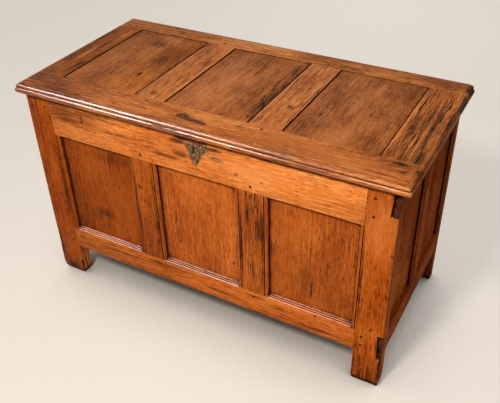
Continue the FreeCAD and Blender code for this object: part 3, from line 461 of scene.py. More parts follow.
@dataclass(frozen=True)
class TornFinish:
    """The old wood inside a crack or a broken place.

    Attributes:
        name: What it is for.
        deep: Its darkest colour.
        raw: Its lightest colour.
    """

    name: str
    deep: Colour
    raw: Colour

    def material(self) -> bpy.types.Material:
        """Builds the torn wood, or finds it where it has been built.

        Returns:
            The material.
        """
        made = bpy.data.materials.get(self.name)
        if made:
            return made
        graph = Graph(bpy.data.materials.new(self.name))
        place = graph.vector("MULTIPLY", graph.add("TexCoord").outputs["Object"], (1.0, 1.0, 0.25))
        grain = graph.noise(place, 190.0, 3.0, 0.6)
        colour = graph.ramp(grain, ((0.35, self.deep), (0.7, self.raw)))
        rough = graph.span(grain, 0.3, 0.7, 0.7, 0.9)
        return graph.finish(colour, rough, graph.relief(grain, 0.6), shine=0.1)


CRACK = TornFinish("cracked_oak", (10, 4, 2), (40, 17, 8))
TORN = TornFinish("torn_oak", (24, 9, 3), (112, 52, 20))


@dataclass(frozen=True)
class Tracks:
    """A rough patch of worm tracks and short cracks, in millimetres.

    Attributes:
        seed: Picks their places.
        count: How many there are.
        at: The patch's middle.
        reach: Half its size along x, y and z.
        lengths: Shortest and longest.
        widths: Narrowest and widest.
        face: The side that they lie on.
        depth: How deep they are.
    """

    seed: int
    count: int
    at: Point
    reach: Point
    lengths: tuple[float, float]
    widths: tuple[float, float]
    face: Face
    depth: float = 1.6

    def splits(self) -> tuple[Split, ...]:
        """Works out each track.

        Returns:
            The tracks.
        """
        draw = random.Random(self.seed)
        made = []
        for _ in range(self.count):
            at = tuple(middle + half * draw.uniform(-1, 1) for middle, half in zip(self.at, self.reach))
            share = draw.random() ** 1.6
            length = self.lengths[0] + share * (self.lengths[1] - self.lengths[0])
            width = draw.uniform(*self.widths)
            depth = self.depth * draw.uniform(0.6, 1.3)
            made.append(Split(at, length, width, depth, self.face, draw.uniform(-2.5, 2.5)))
        return tuple(made)


class Bench:
    """The joiner's bench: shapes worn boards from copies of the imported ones, with Blender's own operators.

    Attributes:
        patterns: The wood that a crack takes away, by whether the crack keeps its width.
        stations: Along the crack's pattern, each place, how wide it is there and how far it lies aside.
        close: How near a place a corner has to be, in metres on a pattern a metre long.
        merged: How near two corners of a board are made one, in millimetres.
        flat: How little two faces have to turn to be made one, in degrees.
        curved: How much faces turn at most in a curve that is shaded smooth, in degrees.
        shortest: The shortest arris that is rounded, in millimetres.
        sharp: How much it has to turn for that, in degrees.
        moulding: How wide the lid's moulding is, with its quirk, in millimetres.
        mitre: How wide its mitres are rounded.
    """

    patterns: dict[bool, bpy.types.Mesh] = {}
    stations: tuple[Point, ...] = (
        (-0.36, 0.6, 0.25), (-0.16, 0.95, -0.2), (0.08, 0.8, 0.3), (0.3, 0.55, -0.15),
    )
    close: float = 0.001
    merged: float = 0.002
    flat: float = 0.2
    curved: float = 32.0
    shortest: float = 12.0
    sharp: float = 35.0
    moulding: float = 16.5
    mitre: float = 6.0

    @staticmethod
    def only(piece: bpy.types.Object) -> None:
        """Selects one object alone and makes it active.

        Args:
            piece: The object.
        """
        bpy.ops.object.select_all(action="DESELECT")
        piece.select_set(True)
        bpy.context.view_layer.objects.active = piece

    @staticmethod
    def pick(piece: bpy.types.Object, wanted: Callable[[bmesh.types.BMVert], bool]) -> int:
        """Selects the wanted vertices of a mesh in edit mode.

        Args:
            piece: The object being edited.
            wanted: Says of a vertex whether it is wanted.

        Returns:
            How many were selected.
        """
        mesh = bmesh.from_edit_mesh(piece.data)
        bpy.ops.mesh.select_mode(type="VERT")
        bpy.ops.mesh.select_all(action="DESELECT")
        found = [corner for corner in mesh.verts if wanted(corner)]
        for corner in found:
            corner.select_set(True)
        mesh.select_flush(True)
        bmesh.update_edit_mesh(piece.data)
        return len(found)

    @classmethod
    def pattern(cls, even: bool) -> bpy.types.Mesh:
        """Models the wood that one crack takes away, a metre long and wide, once for each kind.

        Args:
            even: Whether it keeps its width to its ends.

        Returns:
            Its mesh, along x, with the surface at z 0.
        """
        if even in cls.patterns:
            return cls.patterns[even]
        bpy.ops.object.select_all(action="DESELECT")
        along_x = (0.0, math.pi / 2, 0.0)
        bpy.ops.mesh.primitive_cylinder_add(vertices=6, radius=0.5, depth=1.0, rotation=along_x)
        made = bpy.context.active_object
        bpy.ops.object.transform_apply(location=False, rotation=True, scale=True)
        bpy.ops.object.mode_set(mode="EDIT")
        if not even:
            for place, *_ in cls.stations:
                bpy.ops.mesh.select_all(action="SELECT")
                bpy.ops.mesh.bisect(plane_co=(place, 0.0, 0.0), plane_no=(1.0, 0.0, 0.0))
            for place, wide, aside in cls.stations:
                cls.pick(made, lambda corner: abs(corner.co.x - place) < cls.close)
                bpy.ops.transform.resize(value=(1.0, wide, wide))
                bpy.ops.transform.translate(value=(0.0, aside, 0.0))
            for end in (-0.5, 0.5):
                cls.pick(made, lambda corner: abs(corner.co.x - end) < cls.close)
                bpy.ops.transform.resize(value=(1.0, 0.12, 0.12))
        bpy.ops.object.mode_set(mode="OBJECT")
        cls.patterns[even] = made.data.copy()
        bpy.data.objects.remove(made)
        return cls.patterns[even]

    @classmethod
    def splinter(cls, split: Split, grain: Grain) -> bpy.types.Object:
        """Places one copy of the crack's pattern on a board.

        Args:
            split: The crack.
            grain: The way that the board's grain runs.

        Returns:
            The wood to be taken away.
        """
        out, along = unit(*split.face.value), unit(grain.value)
        along.rotate(Matrix.Rotation(math.radians(split.lean), 3, out))
        across = out.cross(along)
        sides = ((along, split.length), (across, split.width), (out, 2 * split.depth))
        turned = Matrix([[way[row] * size * MM for way, size in sides] for row in range(3)])
        made = bpy.data.objects.new("splinter", cls.pattern(split.even).copy())
        made.data.materials.append((TORN if split.even else CRACK).material())
        made.data.transform(Matrix.Translation(Vector(split.at) * MM) @ turned.to_4x4())
        bpy.context.scene.collection.objects.link(made)
        return made

    @staticmethod
    def block(chip: Chip, seed: int) -> bpy.types.Object:
        """Models the uneven block that a broken place has lost.

        Args:
            chip: The broken place.
            seed: Picks how its faces are torn.

        Returns:
            The wood to be taken away.
        """
        low, high = Vector(chip.low) * MM, Vector(chip.high) * MM
        middle = (low + high) / 2
        bpy.ops.object.select_all(action="DESELECT")
        bpy.ops.mesh.primitive_cube_add(size=1.0, location=middle, scale=high - low)
        made = bpy.context.active_object
        made.data.materials.append(TORN.material())
        made.rotation_euler = [math.radians(part) for part in chip.turn]
        bpy.ops.object.transform_apply(location=True, rotation=True, scale=True)
        bpy.ops.object.mode_set(mode="EDIT")
        bpy.ops.mesh.select_all(action="SELECT")
        bpy.ops.mesh.subdivide(number_cuts=4)
        bpy.ops.mesh.select_all(action="SELECT")
        bpy.ops.transform.vertex_random(offset=chip.ragged * MM, uniform=0.0, normal=0.0, seed=seed)
        bpy.ops.object.mode_set(mode="OBJECT")
        return made

    @classmethod
    def take_away(cls, piece: bpy.types.Object, losses: Sequence[bpy.types.Object]) -> None:
        """Cuts the lost wood out of a board.

        Args:
            piece: The board.
            losses: The objects that say what is lost; they are used up.
        """
        cls.only(losses[0])
        for loss in losses[1:]:
            loss.select_set(True)
        if len(losses) > 1:
            bpy.ops.object.join()
        cutter = bpy.context.view_layer.objects.active
        cls.only(piece)
        cut = piece.modifiers.new("lost_wood", "BOOLEAN")
        cut.operation = "DIFFERENCE"
        cut.solver = "EXACT"
        cut.material_mode = "TRANSFER"
        cut.use_self = True
        cut.object = cutter
        bpy.ops.object.modifier_apply(modifier=cut.name)
        bpy.data.objects.remove(cutter)

    @classmethod
    def copy_of(cls, node: str, name: str, material: bpy.types.Material) -> bpy.types.Object:
        """Copies a packed board, with its loose triangles joined into whole faces.

        Args:
            node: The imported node.
            name: The new piece's name.
            material: Its wood.

        Returns:
            The copy, at the same place.
        """
        made = bpy.data.objects.new(name, frame["nodes"][node].data.copy())
        made.data.materials.clear()
        made.data.materials.append(material)
        bpy.context.scene.collection.objects.link(made)
        cls.only(made)
        bpy.ops.object.mode_set(mode="EDIT")
        bpy.ops.mesh.select_all(action="SELECT")
        bpy.ops.mesh.customdata_custom_splitnormals_clear()
        bpy.ops.mesh.remove_doubles(threshold=cls.merged * MM)
        bpy.ops.mesh.dissolve_limited(angle_limit=math.radians(cls.flat))
        bpy.ops.object.mode_set(mode="OBJECT")
        return made

    @staticmethod
    def round_edges(
        piece: bpy.types.Object, wanted: Callable[[bmesh.types.BMEdge], bool], width: float, segments: int
    ) -> int:
        """Rounds the wanted edges of a board.

        Args:
            piece: The board.
            wanted: Says of an edge whether it is wanted.
            width: How wide the rounding is, in millimetres.
            segments: How many faces make it up.

        Returns:
            How many edges were rounded.
        """
        bpy.ops.object.mode_set(mode="EDIT")
        bpy.ops.mesh.select_mode(type="EDGE")
        bpy.ops.mesh.select_all(action="DESELECT")
        found = [edge for edge in bmesh.from_edit_mesh(piece.data).edges if wanted(edge)]
        for edge in found:
            edge.select_set(True)
        bmesh.update_edit_mesh(piece.data)
        if found:
            bpy.ops.mesh.bevel(offset=width * MM, segments=segments, affect="EDGES", clamp_overlap=True)
        bpy.ops.object.mode_set(mode="OBJECT")
        return len(found)

    @classmethod
    def ease(cls, piece: bpy.types.Object, arris: Arris, grain: Grain) -> int:
        """Rounds a board's long arrises on one side.

        Args:
            piece: The board.
            arris: The side and the width of the rounding.
            grain: The way that the board runs.

        Returns:
            How many edges were rounded.
        """
        axis = arris.face.value[0]

        def wanted(edge: bmesh.types.BMEdge) -> bool:
            """Says whether an edge is a sharp, long one that borders the side.

            Args:
                edge: The edge.

            Returns:
                Whether it is.
            """
            ends = [end.co for end in edge.verts]
            way = ends[1] - ends[0]
            return (
                way.length >= cls.shortest * MM
                and abs(way[grain.value]) >= 0.99 * way.length
                and all(abs(end[axis] - arris.level * MM) <= 0.1 * MM for end in ends)
                and len(edge.link_faces) == 2
                and edge.is_convex
                and edge.calc_face_angle() > math.radians(cls.sharp)
            )

        return cls.round_edges(piece, wanted, arris.width, 2)

    @classmethod
    def round_corners(cls, piece: bpy.types.Object, corner: tuple[float, float]) -> int:
        """Rounds the mitres where a moulding turns a board's two outer corners.

        Args:
            piece: The board.
            corner: Where the moulding's outer corner is, across x, either way, and y, in millimetres.

        Returns:
            How many edges were rounded.
        """
        out, front = (part * MM for part in corner)

        def on_mitre(end: Vector) -> bool:
            """Says whether a point lies on one of the two mitres."""
            return abs((out - abs(end.x)) - (end.y - front)) < 0.05 * MM and end.y < front + cls.moulding * MM

        def wanted(edge: bmesh.types.BMEdge) -> bool:
            """Says whether an edge follows one mitre."""
            first, second = (end.co for end in edge.verts)
            return on_mitre(first) and on_mitre(second) and first.x * second.x > 0

        return cls.round_edges(piece, wanted, cls.mitre, 4)

    @classmethod
    def wear_foot(cls, piece: bpy.types.Object, foot: Foot) -> None:
        """Draws in the end of a stile towards the floor.

        Args:
            piece: The stile.
            foot: How it is worn.
        """
        middle = [part * MM for part in foot.centre]
        bpy.ops.object.mode_set(mode="EDIT")
        for height, *_ in foot.levels:
            if height > 0:
                bpy.ops.mesh.select_all(action="SELECT")
                bpy.ops.mesh.bisect(plane_co=(0.0, 0.0, height * MM), plane_no=(0.0, 0.0, 1.0))
        for height, *drawn in foot.levels:
            for (axis, sign), inward in zip((Face.LEFT.value, Face.RIGHT.value, Face.FRONT.value), drawn):
                found = cls.pick(piece, lambda corner: (
                    abs(corner.co.z - height * MM) < 0.02 * MM and sign * (corner.co[axis] - middle[axis]) > 0
                ))
                if found:
                    bpy.ops.transform.translate(value=unit(axis, -sign * inward * MM))
        bpy.ops.object.mode_set(mode="OBJECT")

    @staticmethod
    def polish(piece: bpy.types.Object, wax: Wax, material: bpy.types.Material) -> None:
        """Gives a handled part of a board its polished surface.

        Args:
            piece: The board.
            wax: The part.
            material: The polished wood.
        """
        low, high = Vector(wax.low) * MM, Vector(wax.high) * MM
        piece.data.materials.append(material)
        for side in piece.data.polygons:
            inside = all(low[axis] < side.center[axis] < high[axis] for axis in range(3))
            if inside and side.material_index == 0:
                side.material_index = len(piece.data.materials) - 1

    @classmethod
    def smooth(cls, piece: bpy.types.Object) -> None:
        """Shades a finished board's curves smooth and keeps its corners."""
        cls.only(piece)
        bpy.ops.object.shade_smooth_by_angle(angle=math.radians(cls.curved))


class Graph:
    """The node tree of one material or of the air, with a short word for each kind of node."""

    def __init__(self, owner: bpy.types.Material | bpy.types.World) -> None:
        """Empties the tree of a new material or world.

        Args:
            owner: The material or world.
        """
        owner.use_nodes = True
        self.owner = owner
        self.tree = owner.node_tree
        self.tree.nodes.clear()

    def add(self, kind: str, feeds: Feeds | None = None, **settings: object) -> bpy.types.Node:
        """Adds a node, with what goes into it.

        Args:
            kind: The node's type, without its Shader prefix.
            feeds: By the name or number of an input, the socket it is linked to, or its number or numbers.
            settings: Properties to set on the node.

        Returns:
            The node.
        """
        made = self.tree.nodes.new("ShaderNode" + kind)
        for key, value in settings.items():
            setattr(made, key, value)
        for key, value in (feeds or {}).items():
            if isinstance(value, Socket):
                self.tree.links.new(value, made.inputs[key])
            else:
                made.inputs[key].default_value = value
        return made

    def maths(self, operation: str, first: object, second: object = 0.0, clamp: bool = False) -> Socket:
        """Works out one number from two by a Math node's operation, kept from 0 to 1 if it is clamped."""
        return self.add("Math", {0: first, 1: second}, operation=operation, use_clamp=clamp).outputs[0]

    def total(self, start: object, *parts: tuple[Socket, float], clamp: bool = False) -> Socket:
        """Adds shares of several numbers to a start.

        Args:
            start: A socket or number.
            parts: Each number and its share.
            clamp: Whether the sum is kept from 0 to 1.

        Returns:
            The sum.
        """
        for value, share in parts:
            start = self.maths("ADD", start, self.maths("MULTIPLY", value, share))
        start.node.use_clamp = clamp
        return start

    def centred(self, value: Socket) -> Socket:
        """Moves a number from 0 to 1 so that it lies about 0."""
        return self.maths("SUBTRACT", value, 0.5)

    def vector(self, operation: str, first: object, second: object = (0.0, 0.0, 0.0)) -> Socket:
        """Works out one vector by a Vector Math node's operation, or the number of LENGTH or DOT_PRODUCT."""
        made = self.add("VectorMath", {0: first, 1: second}, operation=operation)
        return made.outputs["Value" if operation in ("LENGTH", "DOT_PRODUCT") else "Vector"]

    def noise(
        self, place: Socket, scale: float, detail: float = 2.0, rough: float = 0.5, colour: bool = False
    ) -> Socket:
        """Gives a soft random value, or three, by waves in a metre, finer layers and their strength."""
        made = self.add("TexNoise", {"Vector": place, "Scale": scale, "Detail": detail, "Roughness": rough})
        return made.outputs["Color" if colour else "Fac"]

    def span(
        self, value: object, low: float, high: float, to_low: float = 0.0, to_high: float = 1.0
    ) -> Socket:
        """Maps the numbers from low to high smoothly onto those from to_low to to_high, and stops there."""
        feeds = dict(enumerate((value, low, high, to_low, to_high)))
        return self.add("MapRange", feeds, interpolation_type="SMOOTHSTEP").outputs[0]

    def blend(self, share: object, first: object, second: object, way: str = "MIX") -> Socket:
        """Mixes a share of the second colour into the first, in a Mix node's way."""
        settings = {"data_type": "RGBA", "blend_type": way, "clamp_factor": True}
        return self.add("Mix", {0: share, 6: first, 7: second}, **settings).outputs[2]

    def within(self, place: Socket, low: Point, high: Point) -> Socket:
        """Says where a box is.

        Args:
            place: The coordinates.
            low: The box's lowest corner in millimetres.
            high: Its highest corner.

        Returns:
            1 in the box and 0 outside it.
        """
        middle = tuple((a + b) / 2 * MM for a, b in zip(low, high))
        half = tuple((b - a) / 2 * MM for a, b in zip(low, high))
        away = self.vector("DIVIDE", self.vector("ABSOLUTE", self.vector("SUBTRACT", place, middle)), half)
        return self.span(self.most(self.add("SeparateXYZ", {0: away}).outputs), 1.0, 0.9995)

    def ramp(self, value: Socket, stops: Sequence[tuple[float, Colour]]) -> Socket:
        """Turns a number into a colour.

        Args:
            value: The number from 0 to 1.
            stops: Places and their colours from 0 to 255.

        Returns:
            The colour.
        """
        made = self.add("ValToRGB", {0: value})
        points = made.color_ramp.elements
        while len(points) < len(stops):
            points.new(0.5)
        for point, (place, colour) in zip(points, stops):
            point.position = place
            point.color = linear(colour)
        return made.outputs["Color"]

    def most(self, values: Iterable[Socket]) -> Socket | None:
        """Gives the greatest of several numbers.

        Args:
            values: The numbers.

        Returns:
            The greatest, or None where there are none.
        """
        found = None
        for value in values:
            found = value if found is None else self.maths("MAXIMUM", found, value)
        return found

    def relief(self, height: Socket, depth: float, normal: Socket | None = None) -> Socket:
        """Bends the normals by a height.

        Args:
            height: The height from 0 to 1.
            depth: What a height of 1 stands for, in millimetres.
            normal: The normals it is added to.

        Returns:
            The bent normal.
        """
        feeds = {"Strength": 1.0, "Distance": depth * MM, "Height": height}
        if normal is not None:
            feeds["Normal"] = normal
        return self.add("Bump", feeds).outputs["Normal"]

    def rounded(self, radius: float) -> Socket:
        """Gives normals that turn softly over sharp arrises, by the arris's radius in millimetres."""
        return self.add("Bevel", {"Radius": radius * MM}, samples=6).outputs["Normal"]

    def corners(self, reach: float) -> Socket:
        """Gives 1 in the open and 0 deep in a corner, by how far it looks in millimetres."""
        return self.add("AmbientOcclusion", {"Distance": reach * MM}, samples=8).outputs["AO"]

    def directly_seen(self) -> Socket:
        """Gives 1 for rays from the camera, a gloss or a glass, and 0 for rays that carry light."""
        path = self.add("LightPath").outputs
        return self.most(path[name] for name in ("Is Camera Ray", "Is Glossy Ray", "Is Transmission Ray"))

    def finish(
        self, colour: Socket, rough: Socket, normal: Socket, metal: float = 0.0, shine: float = 0.5
    ) -> bpy.types.Material:
        """Ends the tree in one surface.

        Args:
            colour: Its colour.
            rough: Its roughness.
            normal: Its normals.
            metal: How metallic it is.
            shine: Its specular level.

        Returns:
            The material.
        """
        feeds: Feeds = {"Base Color": colour, "Roughness": rough, "Normal": normal}
        feeds.update({"Metallic": metal, "Specular IOR Level": shine})
        self.add("OutputMaterial", {"Surface": self.add("BsdfPrincipled", feeds).outputs[0]})
        return self.owner


@dataclass(frozen=True)
class Board:
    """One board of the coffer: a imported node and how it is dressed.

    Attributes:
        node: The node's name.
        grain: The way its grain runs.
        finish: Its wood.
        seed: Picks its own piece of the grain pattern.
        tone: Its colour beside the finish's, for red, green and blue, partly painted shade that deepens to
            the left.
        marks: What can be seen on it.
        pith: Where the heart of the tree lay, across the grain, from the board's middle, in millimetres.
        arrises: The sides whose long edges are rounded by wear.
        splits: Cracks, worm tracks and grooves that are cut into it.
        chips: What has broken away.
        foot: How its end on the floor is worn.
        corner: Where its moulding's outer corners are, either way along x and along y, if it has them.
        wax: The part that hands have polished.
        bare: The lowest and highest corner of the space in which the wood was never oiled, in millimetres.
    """

    node: str
    grain: Grain
    finish: WoodFinish
    seed: int
    tone: Colour = (1.0, 1.0, 1.0)
    marks: tuple[Mark, ...] = ()
    pith: tuple[float, float] = (60.0, 140.0)
    arrises: tuple[Arris, ...] = ()
    splits: tuple[Split, ...] = ()
    chips: tuple[Chip, ...] = ()
    foot: Foot | None = None
    corner: tuple[float, float] | None = None
    wax: Wax | None = None
    bare: tuple[Point, Point] | None = None

    def stretch(self, across: float, along: float) -> Point:
        """Gives the scale of x, y and z from those across and along the grain."""
        return tuple(along if axis == self.grain.value else across for axis in range(3))

    def heart(self) -> Vector:
        """Gives a point on the line of the tree's heart.

        Returns:
            The point, in metres.
        """
        low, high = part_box(self.node)
        at = (low + high) / 2
        sideways = [axis for axis in range(3) if axis != self.grain.value]
        for axis, way in zip(sideways, self.pith):
            at[axis] += way * MM
        return at

    def mark_mask(self, graph: Graph, place: Socket, mark: Mark) -> Socket:
        """Says where one mark lies.

        Args:
            graph: The tree.
            place: The coordinates, a little uneven.
            mark: The mark.

        Returns:
            Its strength in its middle, and 0 outside it.
        """
        away = graph.vector("SUBTRACT", place, tuple(part * MM for part in mark.at))
        away = graph.vector("DIVIDE", away, tuple(part * MM for part in mark.reach))
        return graph.span(graph.vector("LENGTH", away), 1.0, mark.edge * 0.999, 0.0, mark.strength)

    def layer(self, graph: Graph, place: Socket, layer: Layer) -> Socket:
        """Gives one layer of the wood's noise from 0 to 1, drawn out along the grain."""
        scale, detail, rough, along = layer.value
        return graph.noise(graph.vector("MULTIPLY", place, self.stretch(1.0, along)), scale, detail, rough)

    def sway(self, graph: Graph, place: Socket, moved: Socket, sway: Sway) -> Socket:
        """Moves the coordinates about a little.

        Args:
            graph: The tree.
            place: The coordinates.
            moved: The coordinates of the noise that moves them.
            sway: How they are moved.

        Returns:
            The uneven coordinates.
        """
        scale, rough, across, along = sway.value
        push = graph.vector("SUBTRACT", graph.noise(moved, scale, 2.0, rough, colour=True), (0.5, 0.5, 0.5))
        return graph.vector("ADD", place, graph.vector("MULTIPLY", push, self.stretch(across, along)))

    def specks(self, graph: Graph, place: Socket, specks: Specks) -> Socket:
        """Scatters small dark specks, no two of a size.

        Args:
            graph: The tree.
            place: The coordinates.
            specks: Which specks.

        Returns:
            1 in a speck and 0 outside it.
        """
        cell, share, sizes = specks.value
        share *= self.finish.flecks
        drawn = graph.vector("MULTIPLY", place, self.stretch(1.0, 0.45))
        cells = graph.add("TexVoronoi", {"Vector": drawn, "Scale": 1.0 / (cell * MM)})
        chosen = graph.add("SeparateColor", {0: cells.outputs["Color"]}).outputs
        picked = graph.span(chosen[0], 1.0 - share, 1.0 - 0.9 * share)
        size = graph.span(chosen[1], 0.0, 1.0, *sizes)
        inside = graph.span(graph.maths("DIVIDE", cells.outputs["Distance"], size), 1.1, 0.8)
        return graph.maths("MULTIPLY", inside, picked)

    def rings(self, graph: Graph, place: Socket, heart: Point, streak: Socket) -> Socket:
        """Gives the year rings round the tree's heart.

        Args:
            graph: The tree.
            place: The coordinates.
            heart: Where the heart lies in them.
            streak: The streaks, which make the rings uneven.

        Returns:
            1 in a ring's dark side and 0 beside it.
        """
        reach = graph.vector("MULTIPLY", graph.vector("SUBTRACT", place, heart), self.stretch(1.0, 0.07))
        turns = graph.maths("MULTIPLY", graph.vector("LENGTH", reach), 2 * math.pi / (RING * MM))
        return graph.span(graph.maths("SINE", graph.total(turns, (streak, 3.0))), -0.2, 1.0)

    def material(self, wax: Wax | None = None) -> bpy.types.Material:
        """Builds the board's own oak.

        Args:
            wax: How it is polished, for a part that hands have polished.

        Returns:
            The material.
        """
        wood = self.finish
        graph = Graph(bpy.data.materials.new("oak_" + self.node + ("_waxed" if wax else "")))
        place = graph.add("TexCoord").outputs["Object"]
        offset = tuple(self.seed * step for step in SEED_STEP)
        moved = graph.vector("ADD", place, offset)
        swayed = self.sway(graph, moved, moved, Sway.GRAIN)

        blotch, wavy = (self.layer(graph, moved, layer) for layer in (Layer.BLOTCH, Layer.WAVE))
        mottle, streak, fine, pore = (
            self.layer(graph, swayed, layer) for layer in (Layer.MOTTLE, Layer.STREAK, Layer.FINE, Layer.PORE)
        )
        patchy = graph.span(self.layer(graph, moved, Layer.PATCH), 0.38, 0.62, 0.45, 1.25)
        pore = graph.maths("MULTIPLY", graph.span(pore, 0.58, 0.68), patchy)
        heart = tuple(a + b for a, b in zip(self.heart(), offset))
        rings = graph.maths("MULTIPLY", self.rings(graph, swayed, heart, streak), patchy)
        fleck, dot = (self.specks(graph, swayed, specks) for specks in Specks)

        tone = graph.total(
            0.5, (graph.centred(blotch), wood.blotch),
            (graph.maths("MULTIPLY", graph.centred(streak), patchy), wood.streak),
            (graph.centred(mottle), 0.7 * wood.blotch), (graph.centred(fine), 0.6),
            (rings, -0.22 * wood.rings), (pore, -0.3 * wood.pores), (dot, -0.26), clamp=True,
        )
        colour = graph.blend(1.0, graph.ramp(tone, wood.stops()), (*self.tone, 1.0), "MULTIPLY")
        if self.bare:
            dry = graph.ramp(tone, INSIDE.stops())
            colour = graph.blend(graph.within(place, *self.bare), colour, dry)

        uneven = self.sway(graph, place, moved, Sway.RIM)
        dark_places = [fleck]
        for kind in MarkKind:
            shade, cover = kind.value
            mask = graph.most(self.mark_mask(graph, uneven, mark) for mark in self.marks if mark.kind is kind)
            if mask is None:
                continue
            if kind is MarkKind.SPLIT:
                dark_places.append(mask)
            else:
                broken = graph.span(graph.total(streak, (fine, 0.4)), 0.5, 0.85, 1.5, 0.6)
                mask = graph.maths("MULTIPLY", mask, broken, clamp=True)
            colour = graph.blend(graph.maths("MULTIPLY", mask, cover), colour, linear(shade))
        colour = graph.blend(graph.maths("MULTIPLY", fleck, 0.8), colour, linear(FLECK_COLOUR))

        normal = graph.add("NewGeometry").outputs["Normal"]
        open_air = graph.corners(DIRT_AND_SHADE_REACH)
        # Paler arrises: wear, and in part a painted highlight along the rounded edges.
        rubbed = graph.span(graph.vector("DOT_PRODUCT", graph.rounded(RUBBED_ARRIS), normal), 0.99, 0.84)
        rubbed = graph.maths("MULTIPLY", rubbed, graph.span(open_air, 0.5, 0.8))
        worn = graph.span(self.layer(graph, moved, Layer.RUBBED), 0.35, 0.6, 0.2, wood.wear * 2)
        colour = graph.blend(graph.maths("MULTIPLY", rubbed, worn), colour, linear(wood.rub))
        # Dirt and painted shade: the wood darkens in corners, creases and recesses, where the occlusion is
        # deep.
        dirt = graph.span(graph.total(open_air, (graph.centred(mottle), 0.5)), 0.9, 0.62, 0.0, wood.grime_and_shade)
        colour = graph.blend(dirt, colour, linear(DIRT_AND_SHADE_COLOUR))

        hollow = graph.most(dark_places)
        height = graph.total(
            0.0, (streak, 0.6), (fine, 0.3), (pore, -0.35 * wood.pores), (hollow, -1.5), (wavy, 2.5)
        )
        rough = graph.total(0.0, (blotch, 0.6), (streak, 0.4))
        rough = graph.span(rough, 0.35, 0.65, wood.gloss[1], wood.gloss[0])
        rough = graph.total(rough, (graph.most((dirt, hollow)), 0.3), clamp=True)
        rough = graph.maths("MULTIPLY", rough, wax.smooth if wax else 1.0)
        normal = graph.relief(height, wood.relief, graph.rounded(SOFT_ARRIS))
        return graph.finish(colour, rough, normal, shine=wax.shine if wax else wood.shine)

    def shape(self) -> None:
        """Models the worn board from a copy of its node, and stands it in for that node."""
        node = frame["nodes"][self.node]
        piece = Bench.copy_of(self.node, "worn_" + self.node, self.material())
        if self.foot:
            Bench.wear_foot(piece, self.foot)
        if self.corner:
            LOG.info("%s: %d mitred edges rounded", piece.name, Bench.round_corners(piece, self.corner))
        eased = sum(Bench.ease(piece, arris, self.grain) for arris in self.arrises)
        losses = [Bench.splinter(split, self.grain) for split in self.splits]
        losses += [Bench.block(chip, self.seed + number) for number, chip in enumerate(self.chips)]
        if losses:
            Bench.take_away(piece, losses)
        if self.wax:
            Bench.polish(piece, self.wax, self.material(self.wax))
        Bench.smooth(piece)
        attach(piece, node["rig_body"])
        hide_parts(self.node)
        LOG.info("%s: %d arrises eased, %d cuts", piece.name, eased, len(losses))

    def dress(self) -> None:
        """Shapes the board where it is worn, and puts its own wood on it."""
        if self.arrises or self.splits or self.chips or self.foot:
            self.shape()
        else:
            paint(frame["nodes"][self.node], self.material())
        LOG.info("board %s: %s oak, %d marks", self.node, self.finish.name, len(self.marks))


@dataclass(frozen=True)
class Iron:
    """One piece of ironwork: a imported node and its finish.

    Attributes:
        node: The node's name.
        finish: Its iron.
        seed: Picks its own piece of the hammer marks.
    """

    node: str
    finish: IronFinish
    seed: int = 1

    def material(self) -> bpy.types.Material:
        """Builds the piece's own iron.

        Returns:
            The material.
        """
        iron = self.finish
        graph = Graph(bpy.data.materials.new("iron_" + self.node))
        offset = tuple(self.seed * step for step in IRON_STEP)
        place = graph.vector("ADD", graph.add("TexCoord").outputs["Object"], offset)
        hammer = graph.noise(place, 140.0, 2.0, 0.5)
        rust = graph.noise(place, 420.0, 4.0, 0.65)
        soft = graph.rounded(0.7)
        turn = graph.vector("DOT_PRODUCT", soft, graph.add("NewGeometry").outputs["Normal"])
        dirt = graph.span(graph.corners(6.0), 0.95, 0.4, 0.0, 0.3)
        tone = graph.total(
            0.0, (hammer, 0.6), (rust, 0.5), (graph.span(turn, 0.995, 0.85), 0.7), (dirt, -1.0), clamp=True
        )
        colour = graph.ramp(tone, ((0.38, iron.pit), (0.55, iron.skin), (0.82, iron.rub)))
        rough = graph.span(rust, 0.3, 0.7, *iron.gloss)
        normal = graph.relief(graph.total(hammer, (rust, 0.35)), iron.relief, soft)
        return graph.finish(colour, rough, normal, metal=iron.metal)

    def dress(self) -> None:
        """Puts the iron on its node."""
        paint(frame["nodes"][self.node], self.material())
        LOG.info("iron %s: %s", self.node, self.finish.name)


